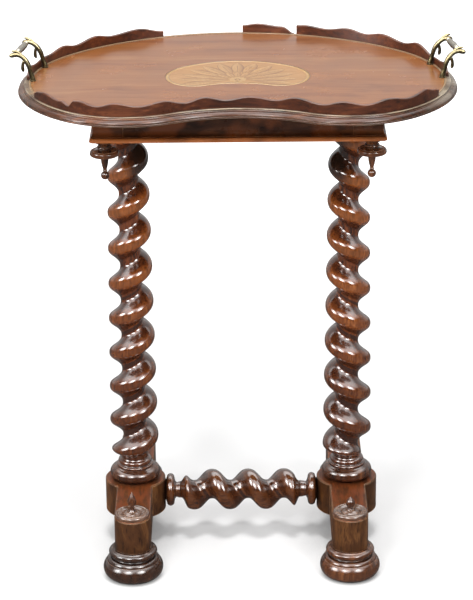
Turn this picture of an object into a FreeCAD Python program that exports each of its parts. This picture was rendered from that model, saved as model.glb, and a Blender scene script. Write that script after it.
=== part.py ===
"""Tray top tea table: a lift-off kidney tray on a stand of two barley-twist columns.

Millimetres, +Z up. The origin is on the floor under the middle of the table, +X runs to the right
and +Y to the back. The stand is turned and joined walnut; the tray is mahogany with a satinwood
inlay, a thin wavy gallery that has lost some of its length, and two cast brass handles.
"""

import FreeCAD, Part
import math
import os

V = FreeCAD.Vector

# ---------------------------------------------------------------------------------------------
# Driving dimensions
# ---------------------------------------------------------------------------------------------
PANEL_TOP = 718.0            # floor to the top face of the tray's panel
TRAY_THICKNESS = 14.0
TRAY_BOTTOM = PANEL_TOP - TRAY_THICKNESS

# The tray's upper arris, walked from the middle of the front notch round the right-hand side:
# (radius, sweep in degrees), where a negative sweep bends the line the other way.
TRAY_NOTCH_Y = -174.1
TRAY_ARCS = ((196.0, -28.4), (121.0, 70.6), (194.0, 47.5), (210.0, 40.9))
INLAY_NOTCH_Y = -57.2
INLAY_ARCS = ((99.5, -25.6), (39.0, 89.5), (64.1, 72.5))
INLAY_THICKNESS = 1.2

RING_INSET = 9.0             # the moulded edge reaches this far in from the arris
MOULDING_RISE = 1.8          # it stops this far above the board's underside, which rests alone
GALLERY_OUTER_INSET = 2.0
GALLERY_INNER_INSET = 6.0
GALLERY_EASING = 0.8         # small flats along its top edges
GALLERY_STEP = 5.0           # longest distance between two of its sections

# Gallery heights above the panel as (distance along the rim, height). The distance counts from
# the middle of the front, to the right; the back pieces count from the middle of the back.
FRONT_LEFT_WAVE = (
    (-327, 6.6), (-314, 11), (-292, 14.3), (-262, 10.6), (-255, 11.8), (-241, 7.5),
)
FRONT_WAVE = (
    (-240.4, 7.6), (-233, 15.8), (-222, 17.2), (-197, 12.6), (-170, 18), (-138, 13.4), (-103, 17.4),
    (-70, 10.9), (-45, 16.1), (-15, 10.5), (17, 15), (50, 11.6), (79, 17.6), (117, 12.6),
    (146, 18), (177, 13.2), (211, 18.8), (246, 14), (280, 18), (306, 12), (317, 9),
)
BACK_LEFT_WAVE = (
    (-421, 5), (-398, 13), (-368, 9), (-340, 11), (-324, 10.8), (-290, 15.4), (-265, 11.2),
    (-226, 17.3), (-198, 12.8), (-152, 16.4), (-113, 9),
)
BACK_CENTRE_WAVE = ((8, 11.5), (30, 14), (68, 10.7), (86, 1.2))
BACK_RIGHT_WAVE = (
    (90, 14.2), (104, 15), (136, 12.2), (172, 17), (201, 12.8), (232, 17.8), (274, 12.4),
    (304, 18.4), (345, 9), (368, 9), (398, 13), (421, 5),
)

# Handles, in their own frame: x outwards, y along the rim, z above the panel.
HANDLE_MIDDLE = (278.6, -2.0)
HANDLE_TURN = 10.2           # degrees; the rim narrows towards the back
HANDLE_HALF_SPAN = 34.5      # middle of the handle to each foot
GRIP_HALF_LENGTH = 35.0
GRIP_OUT, GRIP_UP = 23.8, 36.2
HANDLE_FOOT_RADIUS = 4.6
HANDLE_FOOT_THICKNESS = 1.6
BRANCH = (                   # (out, along from the foot, up, radius)
    (0.0, 0.0, 1.2, 3.9), (0.8, 0.0, 6.0, 3.3), (3.0, 0.0, 13.0, 3.0), (5.0, -0.4, 20.5, 3.3),
    (9.0, -1.0, 28.0, 3.5), (14.6, -1.4, 33.6, 3.2), (20.8, -1.2, 36.2, 3.3), (26.4, -0.2, 36.0, 3.5),
    (30.0, 1.2, 35.0, 2.8), (31.8, 2.0, 34.4, 1.2),
)
LEAF = (
    (8.4, -0.6, 28.4, 1.8), (12.0, 0.0, 26.4, 2.3), (13.6, 0.4, 21.6, 2.2), (13.6, 0.6, 16.6, 2.4),
    (12.4, 0.6, 12.6, 0.9),
)
TIP_LEAF = (
    (15.4, -1.2, 36.4, 1.8), (20.0, -1.0, 39.6, 2.0), (25.0, -0.2, 41.4, 1.7), (28.8, 0.6, 41.6, 0.7),
)

# Screws that hold the tray's cleats and, from below, the feet of its handles.
SCREW_RADIUS = 1.6
SCREW_HEAD_RADIUS = 2.8
SCREW_HEAD_DEPTH = 2.0
CLEAT_SCREW_LENGTH = 23.0
HANDLE_SCREW_LENGTH = 19.0
CLEAT_SCREW_END = 25.0       # from a cleat's end to its outer screw

# Stand frame, the shallow box under the tray.
FRAME_TOP = TRAY_BOTTOM
FRAME_BOTTOM = 650.0
FRAME_HALF_WIDTH = 200.0     # to the flat upper face, X
FRAME_HALF_DEPTH = 110.5     # to the flat upper face, Y
MOULDING_REACH = 4.6         # how far the lower edge stands out
RAIL_THICKNESS = 18.0
RAIL_RECESS = 1.5            # the rails' faces lie behind the corner blocks'
BLOCK = 42.0                 # side of a corner block
BEARER_HALF_WIDTH = 25.0
BEARER_HEIGHT = 25.0
GLUE_BLOCK = 14.0
CLEAT_WIDTH = 16.0
CLEAT_HEIGHT = 14.0
CLEAT_PLAY = 1.5             # between the tray's cleats and the frame around them

# Columns and their barley twist.
COLUMN_X = 157.5
TWIST_MEAN = 24.0            # radius of the cross-section, averaged all round
TWIST_THROW = 9.9            # how much further it reaches at the crest
TWIST_SHOULDER = 1.0         # fullness of the lobes on both sides of the crest
TWIST_TAPER = 0.10           # share by which the twist grows from its middle to its foot
TWIST_BOTTOM, TWIST_TOP = 128.0, 640.0
TWIST_MIDDLE, TWIST_HALF = 360.0, 240.0
TWIST_SECTIONS_PER_TURN = 10
TWIST_ARCS = 8               # arcs in one cross-section
# The twists were cut by hand, so their pitch drifts a little: pitch, the crest's direction at
# mid-height, and how far it has turned on at both ends beyond an even pitch, in degrees.
LEFT_TWIST = (53.84, 257.6, -22.6)
RIGHT_TWIST = (54.42, 212.7, 15.6)
RUN_OUT_BOTTOM, RUN_OUT_TOP = 17.0, 15.0
TENON_RADIUS = 12.0
COLUMN_NECK_BOTTOM, COLUMN_NECK_TOP = 20.0, 19.0
NECK_STEP = 0.5              # the turned ends are this much wider than the necks of a twist

# Foot slabs and what stands on and under them.
SLAB_BOTTOM, SLAB_TOP = 44.0, 94.0
DRUM_RADIUS = 44.5
BASE_RING_HEIGHT = 20.0
ARM_RADIUS = 26.0
ARM_REACH = 134.0            # drum axis to the axis of each arm's round end
EDGE_ROUND = 1.6
FOOT_RADIUS = 41.8
FOOT_TENON_RADIUS = 9.0
CAP_RADIUS = 24.6
CAP_HEIGHT = 6.4
FINIAL_STEM_RADIUS = 3.0
LEFT_FINIAL_HEIGHT, RIGHT_FINIAL_HEIGHT = 31.0, 21.0

# Stretcher between the two drums.
STRETCHER_Z = 71.0
STRETCHER_PITCH = 53.6
STRETCHER_SHARE = 0.92       # size of its twist beside the columns'
STRETCHER_LEFT, STRETCHER_RIGHT = -91.0, 88.0
RUN_OUT_LEFT, RUN_OUT_RIGHT = 12.0, 10.0
STRETCHER_CREST_X = 10.3     # where a crest shows along the upper back
STRETCHER_CREST_TURN = 64.4  # its direction there, degrees from +Y towards +Z
STRETCHER_NECK = 12.0
STRETCHER_DISC = 24.3
STRETCHER_DISC_WIDTH = 14.2
STRETCHER_TENON = 9.0

PENDANT_INSET = 15.3         # pendant axis, in from the frame's flat faces
PENDANT_BALL = 6.0           # radius of the ball at its tip
PENDANT_BALL_DROP = 51.2     # its centre, below the frame
PENDANT_NECK = 1.9

os.makedirs("parts", exist_ok=True)


# ---------------------------------------------------------------------------------------------
# Helpers
# ---------------------------------------------------------------------------------------------
def save(name, shape):
    """Write one node, checked to be closed solids."""
    if not shape.isValid() or not shape.Solids:
        raise ValueError(name + " is not a valid solid")
    shape.exportStep("parts/" + name + ".step")
    box = shape.optimalBoundingBox()
    print(
        "%-26s %8.1f cm3   x %.1f..%.1f  y %.1f..%.1f  z %.1f..%.1f"
        % (name, shape.Volume / 1000, box.XMin, box.XMax, box.YMin, box.YMax, box.ZMin, box.ZMax)
    )


def fuse(shapes):
    """One clean solid from touching or overlapping ones."""
    shapes = list(shapes)
    joined = shapes[0].multiFuse(shapes[1:]) if len(shapes) > 1 else shapes[0]
    return joined.removeSplitter()


def move(shape, x=0.0, y=0.0, z=0.0):
    copy = shape.copy()
    copy.translate(V(x, y, z))
    return copy


def mirror_x(shape):
    return shape.mirror(V(0, 0, 0), V(1, 0, 0))


def mirror_y(shape):
    return shape.mirror(V(0, 0, 0), V(0, 1, 0))


def box(x0, x1, y0, y1, z0, z1):
    return Part.makeBox(x1 - x0, y1 - y0, z1 - z0, V(x0, y0, z0))


def rod(radius, z0, z1, x=0.0, y=0.0):
    return Part.makeCylinder(radius, z1 - z0, V(x, y, z0))


def profile_wire(start, steps, place):
    """A wire of lines and arcs. A step is (a, b) for a line or (a, b, mid_a, mid_b) for an arc."""
    edges = []
    here = start
    for step in steps:
        end = step[:2]
        if len(step) == 2:
            edges.append(Part.LineSegment(place(*here), place(*end)).toShape())
        else:
            edges.append(Part.Arc(place(*here), place(*step[2:]), place(*end)).toShape())
        here = end
    if here != start:
        edges.append(Part.LineSegment(place(*here), place(*start)).toShape())
    return Part.Wire(edges)


def turned(start, steps, x=0.0, y=0.0):
    """A turning about the vertical line through (x, y), from its (radius, z) profile."""
    wire = profile_wire(start, steps, lambda r, z: V(r, 0, z))
    solid = Part.Face(wire).revolve(V(0, 0, 0), V(0, 0, 1), 360)
    return move(solid, x, y)


class Loop:
    """A closed outline of tangent arcs, the same on both sides of the Y axis."""

    def __init__(self, start_y, arcs):
        x, y, heading = 0.0, start_y, 0.0
        station = 0.0
        self.arcs = []
        for radius, sweep in arcs:
            side = math.copysign(1.0, sweep)
            cx = x - side * radius * math.sin(heading)
            cy = y + side * radius * math.cos(heading)
            angle = math.radians(abs(sweep))
            self.arcs.append((station, cx, cy, radius, heading, side, angle))
            heading += side * angle
            station += radius * angle
            x = cx + side * radius * math.sin(heading)
            y = cy - side * radius * math.cos(heading)
        radius = x / math.sin(heading)       # the last arc has its centre on the Y axis
        angle = math.pi - heading
        self.arcs.append((station, 0.0, y + radius * math.cos(heading), radius, heading, 1.0, angle))
        self.half_length = station + radius * angle

    def point(self, station, outset=0.0):
        """The point this far along from the middle of the front, moved outwards by outset."""
        mirror = math.copysign(1.0, station)
        along = abs(station)
        arc = max((a for a in self.arcs if a[0] <= along), key=lambda a: a[0])
        start, cx, cy, radius, heading, side, _ = arc
        heading += side * (along - start) / radius
        reach = side * radius + outset
        return V(mirror * (cx + reach * math.sin(heading)), cy - reach * math.cos(heading), 0)

    def outline(self, outset, z):
        """The closed wire at this outset and height."""
        edges = []
        for start, _, _, radius, _, _, angle in self.arcs:
            stations = [start + radius * angle * k for k in (0.0, 0.5, 1.0)]
            stations[0] += 1e-9
            for mirror in (1, -1):
                points = [self.point(mirror * s, outset) + V(0, 0, z) for s in stations]
                edges.append(Part.Arc(*points).toShape())
        return Part.Wire(Part.__sortEdges__(edges))

    def slab(self, outset, z0, z1):
        return Part.Face(self.outline(outset, z0)).extrude(V(0, 0, z1 - z0))

    def ring(self, start, steps):
        """A moulding all round, from its (outset, z) profile."""
        pieces = []
        for begin, cx, cy, _, heading, side, angle in self.arcs:
            foot = self.point(begin + 1e-9)
            out = V(math.sin(heading), -math.cos(heading), 0)
            wire = profile_wire(start, steps, lambda a, z: foot + out * a + V(0, 0, z))
            turn = side * math.degrees(angle)
            piece = Part.Face(wire).revolve(V(cx, cy, 0), V(0, 0, 1), turn)
            pieces += [piece, mirror_x(piece)]
        return fuse(pieces)


def eased(wave, station):
    """Height of a wave at a station, flat at each named crest and trough."""
    for (s0, h0), (s1, h1) in zip(wave, wave[1:]):
        if s0 <= station <= s1:
            share = 0.5 - 0.5 * math.cos(math.pi * (station - s0) / (s1 - s0))
            return h0 + (h1 - h0) * share
    raise ValueError("station outside the wave")


def limb(points):
    """A tapering round branch through (place, radius) points."""
    rings = []
    for i, (place, radius) in enumerate(points):
        before = points[max(i - 1, 0)][0]
        after = points[min(i + 1, len(points) - 1)][0]
        rings.append(Part.Wire(Part.Circle(place, after - before, radius).toShape()))
    return Part.makeLoft(rings, True, False)


# ---------------------------------------------------------------------------------------------
# Tray
# ---------------------------------------------------------------------------------------------
tray = Loop(TRAY_NOTCH_Y, TRAY_ARCS)
inlay = Loop(INLAY_NOTCH_Y, INLAY_ARCS)


def make_edge_moulding():
    """Bead at the gallery's foot, flat top, small bead, quirk, broad ovolo and a bottom bead."""
    t = PANEL_TOP
    b = TRAY_BOTTOM + MOULDING_RISE
    steps = (
        (-RING_INSET, t),
        (-8.3, t),
        (-GALLERY_INNER_INSET, t, -7.15, t + 1.1),
        (-1.0, t),
        (0.6, t - 2.2, 0.3, t - 0.6),
        (1.2, t - 3.2),
        (8.6, t - 8.2, 6.4, t - 4.5),
        (8.0, t - 9.0),
        (8.0, b + 0.6, 9.4, (t - 9.0 + b + 0.6) / 2),
        (6.8, b),
    )
    return tray.ring((-RING_INSET, b), steps)


def make_gallery(wave, from_back):
    """One length of the thin wavy gallery, lofted through its cross-sections."""
    sections = []
    for (s0, _), (s1, _) in zip(wave, wave[1:]):
        count = max(2, math.ceil((s1 - s0) / GALLERY_STEP))
        sections += [s0 + (s1 - s0) * k / count for k in range(count)]
    sections.append(wave[-1][0])
    wires = []
    for s in sections:
        height = eased(wave, s)
        ease = min(GALLERY_EASING, height / 2)
        corners = (
            (-GALLERY_INNER_INSET, 0), (-GALLERY_INNER_INSET, height - ease),
            (-GALLERY_INNER_INSET + ease, height), (-GALLERY_OUTER_INSET - ease, height),
            (-GALLERY_OUTER_INSET, height - ease), (-GALLERY_OUTER_INSET, 0),
        )
        if from_back:
            station = math.copysign(tray.half_length, s) - s
        else:
            station = s
        points = [tray.point(station, a) + V(0, 0, PANEL_TOP + h) for a, h in corners]
        wires.append(Part.makePolygon(points + points[:1]))
    return Part.makeLoft(wires, True, True)


def handle_place(out, along, up):
    """A point of the right-hand handle in the table's frame."""
    turn = math.radians(HANDLE_TURN)
    x = HANDLE_MIDDLE[0] + out * math.cos(turn) - along * math.sin(turn)
    y = HANDLE_MIDDLE[1] + out * math.sin(turn) + along * math.cos(turn)
    return V(x, y, PANEL_TOP + up)


def make_branch(end):
    """One S-curved branch with its foot and leaves; end is +1 for the rear one, -1 for the front."""
    def strand(points):
        return limb([
            (handle_place(out, end * (HANDLE_HALF_SPAN + along), up), radius)
            for out, along, up, radius in points
        ])

    foot_at = handle_place(0, end * HANDLE_HALF_SPAN, 0)
    foot = Part.makeCylinder(HANDLE_FOOT_RADIUS, HANDLE_FOOT_THICKNESS, foot_at)
    return fuse([foot, strand(BRANCH), strand(LEAF), strand(TIP_LEAF)])


def make_grip():
    """The baluster-shaped spindle between the two branches."""
    half = GRIP_HALF_LENGTH
    profile = [(0, -half), (1.8, -half), (1.9, -half + 6), (3.2, -half + 9), (2.0, -half + 12)]
    profile += [(2.6, -22), (4.4, -10), (4.9, 0)]
    profile += [(r, -a) for r, a in reversed(profile[:-1])]
    spline = Part.BSplineCurve()
    spline.interpolate([V(r, 0, a) for r, a in profile[1:-1]])
    ends = [V(0, 0, -half), V(1.8, 0, -half), V(1.8, 0, half), V(0, 0, half)]
    wire = Part.Wire([
        Part.LineSegment(ends[0], ends[1]).toShape(),
        spline.toShape(),
        Part.LineSegment(ends[2], ends[3]).toShape(),
        Part.LineSegment(ends[3], ends[0]).toShape(),
    ])
    spindle = Part.Face(wire).revolve(V(0, 0, 0), V(0, 0, 1), 360)
    direction = handle_place(0, 1, 0) - handle_place(0, 0, 0)
    spindle.Placement = FreeCAD.Placement(
        handle_place(GRIP_OUT, 0, GRIP_UP), FreeCAD.Rotation(V(0, 0, 1), direction)
    )
    return spindle


def make_screw(x, y, head_z, length):
    """A countersunk screw that points upwards, with the face of its head at head_z."""
    steps = (
        (SCREW_HEAD_RADIUS, 0), (SCREW_RADIUS, SCREW_HEAD_DEPTH), (SCREW_RADIUS, length - 2.0),
        (0, length),
    )
    return move(turned((0, 0), steps), x, y, head_z)


def cut_all(shape, tools):
    for tool in tools:
        shape = shape.cut(tool)
    return shape


def make_tray():
    board = tray.slab(-RING_INSET, TRAY_BOTTOM, PANEL_TOP)
    inlay_solid = inlay.slab(0.0, PANEL_TOP - INLAY_THICKNESS, PANEL_TOP)

    cleat_y1 = FRAME_HALF_DEPTH - RAIL_RECESS - RAIL_THICKNESS - CLEAT_PLAY
    cleat_y0 = cleat_y1 - CLEAT_WIDTH
    cleat_x = FRAME_HALF_WIDTH - BLOCK - CLEAT_PLAY
    cleat = box(-cleat_x, cleat_x, cleat_y0, cleat_y1, TRAY_BOTTOM - CLEAT_HEIGHT, TRAY_BOTTOM)
    cleat_middle = (cleat_y0 + cleat_y1) / 2
    screw_x = cleat_x - CLEAT_SCREW_END
    cleat_screws = [
        make_screw(x, side * cleat_middle, TRAY_BOTTOM - CLEAT_HEIGHT, CLEAT_SCREW_LENGTH)
        for x in (-screw_x, 0, screw_x) for side in (1, -1)
    ]
    feet = [handle_place(0, end * HANDLE_HALF_SPAN, 0) for end in (1, -1)]
    handle_screws = [
        make_screw(side * foot.x, foot.y, TRAY_BOTTOM, HANDLE_SCREW_LENGTH)
        for foot in feet for side in (1, -1)
    ]
    save("tray_board", cut_all(board, [inlay_solid] + cleat_screws + handle_screws))
    save("tray_inlay", inlay_solid)
    moulding = make_edge_moulding()
    save("tray_edge_moulding", moulding)
    save("tray_cleat_back", cut_all(cleat, cleat_screws))
    save("tray_cleat_front", cut_all(mirror_y(cleat), cleat_screws))
    save("cleat_screws", Part.makeCompound(cleat_screws))
    save("handle_screws", Part.makeCompound(handle_screws))

    save("gallery_front", make_gallery(FRONT_WAVE, False))
    save("gallery_front_left", make_gallery(FRONT_LEFT_WAVE, False))
    save("gallery_back_left", make_gallery(BACK_LEFT_WAVE, True))
    save("gallery_back_centre", make_gallery(BACK_CENTRE_WAVE, True))
    save("gallery_back_right", make_gallery(BACK_RIGHT_WAVE, True))

    rear = cut_all(make_branch(1), handle_screws + [moulding])
    front = cut_all(make_branch(-1), handle_screws + [moulding])
    grip = make_grip().cut(rear).cut(front)
    grip = max(grip.Solids, key=lambda s: s.Volume)
    save("handle_right_rear_branch", rear)
    save("handle_right_front_branch", front)
    save("handle_right_grip", grip)
    save("handle_left_rear_branch", mirror_x(rear))
    save("handle_left_front_branch", mirror_x(front))
    save("handle_left_grip", mirror_x(grip))


# ---------------------------------------------------------------------------------------------
# Stand: frame
# ---------------------------------------------------------------------------------------------
def frame_profile(inner, recess):
    """(outset, z) profile of the moulded lower edge: cavetto, quirk and half-round bead."""
    b = FRAME_BOTTOM
    steps = (
        (-recess, FRAME_TOP),
        (-recess, b + 18.5),
        (3.2, b + 8.8, 0.2 - recess / 2, b + 12.6),
        (1.8, b + 7.6),
        (1.8, b + 0.8, MOULDING_REACH, b + 4.2),
        (1.0, b),
    )
    return (inner, b), steps, (inner, FRAME_TOP)


def moulded_x(x0, x1, inner, recess=0.0):
    """A length along X with its moulded face to the back (+Y)."""
    start, steps, last = frame_profile(inner, recess)
    wire = profile_wire(start, (last,) + steps, lambda a, z: V(x0, FRAME_HALF_DEPTH + a, z))
    return Part.Face(wire).extrude(V(x1 - x0, 0, 0))


def moulded_y(y0, y1, inner, recess=0.0):
    """A length along Y with its moulded face to the right (+X)."""
    start, steps, last = frame_profile(inner, recess)
    wire = profile_wire(start, (last,) + steps, lambda a, z: V(FRAME_HALF_WIDTH + a, y0, z))
    return Part.Face(wire).extrude(V(0, y1 - y0, 0))


def pendant_axis():
    return FRAME_HALF_WIDTH - PENDANT_INSET, FRAME_HALF_DEPTH - PENDANT_INSET


def make_frame():
    inner_x = FRAME_HALF_WIDTH - BLOCK
    inner_y = FRAME_HALF_DEPTH - BLOCK
    beyond = MOULDING_REACH + 1
    px, py = pendant_axis()
    block = moulded_x(inner_x, FRAME_HALF_WIDTH + beyond, -BLOCK).common(
        moulded_y(inner_y, FRAME_HALF_DEPTH + beyond, -BLOCK)
    )
    block = block.cut(rod(5.0, FRAME_BOTTOM, FRAME_BOTTOM + 16, px, py))
    save("corner_block_back_right", block)
    save("corner_block_back_left", mirror_x(block))
    save("corner_block_front_right", mirror_y(block))
    save("corner_block_front_left", mirror_y(mirror_x(block)))

    depth = RAIL_THICKNESS + RAIL_RECESS
    long_rail = moulded_x(-inner_x, inner_x, -depth, RAIL_RECESS)
    short_rail = moulded_y(-inner_y, inner_y, -depth, RAIL_RECESS)
    save("rail_back", long_rail)
    save("rail_front", mirror_y(long_rail))
    save("rail_right", short_rail)
    save("rail_left", mirror_x(short_rail))

    rail_face = FRAME_HALF_DEPTH - depth
    bearer = box(
        COLUMN_X - BEARER_HALF_WIDTH, FRAME_HALF_WIDTH - depth, -inner_y, inner_y,
        FRAME_BOTTOM, FRAME_BOTTOM + BEARER_HEIGHT,
    )
    tongue = box(
        COLUMN_X - BEARER_HALF_WIDTH, inner_x, -rail_face, rail_face,
        FRAME_BOTTOM, FRAME_BOTTOM + BEARER_HEIGHT,
    )
    bearer = fuse([bearer, tongue]).cut(
        rod(TENON_RADIUS, FRAME_BOTTOM - 1, FRAME_BOTTOM + BEARER_HEIGHT + 1, COLUMN_X, 0)
    )
    save("bearer_right", bearer)
    save("bearer_left", mirror_x(bearer))

    g = GLUE_BLOCK
    low = FRAME_BOTTOM + BEARER_HEIGHT
    side = FRAME_HALF_WIDTH - depth
    strip = Part.Face(Part.makePolygon([
        V(side, -40, low), V(side - g, -40, low), V(side, -40, low + g), V(side, -40, low),
    ])).extrude(V(0, 80, 0))
    save("glue_strip_right", strip)
    save("glue_strip_left", mirror_x(strip))


def make_pendant():
    """Turned drop under a corner block: flare, bead, thick disc, taper and ball, with its tenon."""
    b = FRAME_BOTTOM
    x, y = pendant_axis()
    ball = b - PENDANT_BALL_DROP
    ball_top = ball + math.sqrt(PENDANT_BALL ** 2 - PENDANT_NECK ** 2)
    slant = PENDANT_BALL * math.sqrt(0.5)
    steps = (
        (5.0, b + 15), (5.0, b), (13.8, b),
        (12.6, b - 3.4, 14.2, b - 1.9),
        (8.6, b - 9.2, 9.2, b - 5.6),
        (9.6, b - 11.2, 10.6, b - 9.8),
        (8.8, b - 12.8),
        (17.4, b - 14.4, 13.0, b - 14.2),
        (17.6, b - 15.2), (18.2, b - 14.9),
        (20.4, b - 18.2, 20.0, b - 16.2),
        (17.4, b - 22.6, 20.0, b - 21.2),
        (11.0, b - 23.6), (9.2, b - 24.8), (5.6, b - 25.6),
        (2.3, b - 43.2, 4.6, b - 34.0),
        (3.0, b - 44.8, 3.4, b - 43.8), (PENDANT_NECK, ball_top),
        (PENDANT_BALL, ball, slant, ball + slant),
        (0, ball - PENDANT_BALL, slant, ball - slant),
    )
    return turned((0, b + 15), steps, x, y)


# ---------------------------------------------------------------------------------------------
# Stand: twists, columns, stretcher and feet
# ---------------------------------------------------------------------------------------------
def fade(distance, length):
    """0 at the end of a twist and 1 once it has run in."""
    share = min(max(distance / length, 0.0), 1.0)
    return 0.5 - 0.5 * math.cos(math.pi * share)


def twist_ring(z, crest, mean, throw, shoulder):
    """Poles of a closed cross-section at height z that reaches furthest towards the angle crest.

    The section is a row of cubic Bezier arcs; each gives its first three poles, and its fourth is
    the next arc's first.
    """
    step = 2 * math.pi / TWIST_ARCS

    def at(angle):
        """The point at this angle, and a third of the way that one arc runs from it."""
        turn = angle - crest
        reach = mean + throw * math.cos(turn) - shoulder * math.cos(3 * turn)
        slope = 3 * shoulder * math.sin(3 * turn) - throw * math.sin(turn)
        out = V(math.cos(angle), math.sin(angle), 0)
        along = V(-math.sin(angle), math.cos(angle), 0)
        return out * reach + V(0, 0, z), (out * slope + along * reach) * (step / 3)

    poles = []
    for k in range(TWIST_ARCS):
        begin, leave = at(k * step)
        end, arrive = at((k + 1) * step)
        poles += [begin, begin + leave, end - arrive]
    return poles


def arc_poles(ring, k):
    """The four poles, or runs of poles, of arc k of a closed ring."""
    return [ring[(3 * k + j) % len(ring)] for j in range(4)]


def ring_face(ring):
    """The flat end of a twist, from its ring of poles."""
    arcs = []
    for k in range(TWIST_ARCS):
        arc = Part.BezierCurve()
        arc.setPoles(arc_poles(ring, k))
        arcs.append(arc.toShape())
    return Part.Face(Part.Wire(arcs))


def twist(z0, z1, pitch, crest_at, size_at, necks, run_outs):
    """Barley twist along +Z from z0 to z1, run out to a round neck at both ends.

    crest_at gives the crest's direction at a height, in radians, and size_at its size there as a
    share of the named dimensions. Every pole of the cross-section follows a smooth curve up the
    twist, and these curves together are the poles of its faces.
    """
    count = math.ceil((z1 - z0) / pitch * TWIST_SECTIONS_PER_TURN)
    heights = [z0 + (z1 - z0) * k / count for k in range(count + 1)]
    rings = []
    for z in heights:
        low, high = fade(z - z0, run_outs[0]), fade(z1 - z, run_outs[1])
        size = size_at(z)
        mean = size * TWIST_MEAN
        mean += (necks[0] - mean) * (1 - low) + (necks[1] - mean) * (1 - high)
        size *= low * high
        rings.append(twist_ring(z, crest_at(z), mean, size * TWIST_THROW, size * TWIST_SHOULDER))
    runs = []
    for places in zip(*rings):
        run = Part.BSplineCurve()
        run.interpolate(Points=list(places), Parameters=heights)
        runs.append(run)
    faces = [ring_face(rings[0]), ring_face(rings[-1])]
    for k in range(TWIST_ARCS):
        side = Part.BSplineSurface()
        side.buildFromPolesMultsKnots(
            [run.getPoles() for run in arc_poles(runs, k)], [4, 4], runs[0].getMultiplicities(),
            [0, 1], runs[0].getKnots(), False, False, 3, 3,
        )
        faces.append(side.toShape())
    shell = Part.Shell(faces)
    shell.sewShape()
    return Part.Solid(shell)


def make_column(hand, screw, x):
    """One column turned from a single billet: tenons, rings, neck, twist and top collar."""
    pitch, crest, drift = screw

    def from_middle(z):
        return (z - TWIST_MIDDLE) / TWIST_HALF

    def crest_at(z):
        turned_on = 360.0 * (z - TWIST_MIDDLE) / pitch + drift * from_middle(z) ** 2
        return math.radians(crest + hand * turned_on)

    shaft = twist(
        TWIST_BOTTOM, TWIST_TOP, pitch, crest_at, lambda z: 1 - TWIST_TAPER * from_middle(z),
        (COLUMN_NECK_BOTTOM, COLUMN_NECK_TOP), (RUN_OUT_BOTTOM, RUN_OUT_TOP),
    )
    s = SLAB_TOP
    foot = turned((0, s - 34), (
        (TENON_RADIUS, s - 34), (TENON_RADIUS, s + BASE_RING_HEIGHT),
        (25.8, s + BASE_RING_HEIGHT), (27.3, s + 22.0, 26.9, s + 20.6),
        (25.8, s + 23.8, 26.9, s + 23.3),
        (21.4, s + 23.8),
        (21.4, s + 32.0, 24.8, s + 28.0),
        (COLUMN_NECK_BOTTOM + NECK_STEP, s + 32.6),
        (COLUMN_NECK_BOTTOM + NECK_STEP, TWIST_BOTTOM),
        (0, TWIST_BOTTOM),
    ))
    t = TWIST_TOP
    head = turned((0, t), (
        (COLUMN_NECK_TOP + NECK_STEP, t), (COLUMN_NECK_TOP + NECK_STEP, t + 1.6),
        (22.6, t + 2.6),
        (22.6, t + 8.0, 25.6, t + 5.3),
        (21.0, t + 8.4), (21.0, FRAME_BOTTOM),
        (TENON_RADIUS, FRAME_BOTTOM), (TENON_RADIUS, FRAME_BOTTOM + BEARER_HEIGHT),
        (0, FRAME_BOTTOM + BEARER_HEIGHT),
    ))
    return move(fuse([foot, shaft, head]), x)


def make_base_ring(x):
    """Broad half-round ring between the column and the foot slab."""
    s = SLAB_TOP
    return turned((TENON_RADIUS, s), (
        (29.6, s), (31.4, s + 1.2),
        (29.4, s + 18.6, 37.0, s + 10.6),
        (27.0, s + BASE_RING_HEIGHT), (TENON_RADIUS, s + BASE_RING_HEIGHT),
    ), x)


def make_stretcher():
    """Horizontal barley twist with a neck and a lens-shaped disc at each end, and its tenons."""
    def crest_at(x):
        return math.radians(
            STRETCHER_CREST_TURN + 360.0 * (x - STRETCHER_CREST_X) / STRETCHER_PITCH
        )

    shaft = twist(
        STRETCHER_LEFT, STRETCHER_RIGHT, STRETCHER_PITCH, crest_at, lambda x: STRETCHER_SHARE,
        (STRETCHER_NECK, STRETCHER_NECK), (RUN_OUT_LEFT, RUN_OUT_RIGHT),
    )
    reach = COLUMN_X - DRUM_RADIUS

    def end(neck):
        disc = reach - STRETCHER_DISC_WIDTH
        return turned((0, neck), (
            (STRETCHER_NECK + NECK_STEP, neck), (STRETCHER_NECK - 1, disc - 2),
            (STRETCHER_NECK + 2, disc),
            (19.0, disc + 1.0),
            (19.0, reach - 2.0, 2 * STRETCHER_DISC - 19.0 - 5.3, disc + 6.6),
            (14.0, reach), (STRETCHER_TENON, reach),
            (STRETCHER_TENON, reach + 20), (0, reach + 20),
        ))

    # The turning is made standing up: its +Z becomes the table's +X and its +X the table's +Y.
    lay_down = FreeCAD.Rotation(V(0, 1, 0), V(0, 0, 1), V(1, 0, 0))
    left_end = end(-STRETCHER_LEFT).mirror(V(0, 0, 0), V(0, 0, 1))
    whole = fuse([left_end, shaft, end(STRETCHER_RIGHT)])
    whole.Placement = FreeCAD.Placement(V(0, 0, STRETCHER_Z), lay_down)
    return whole


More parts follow.
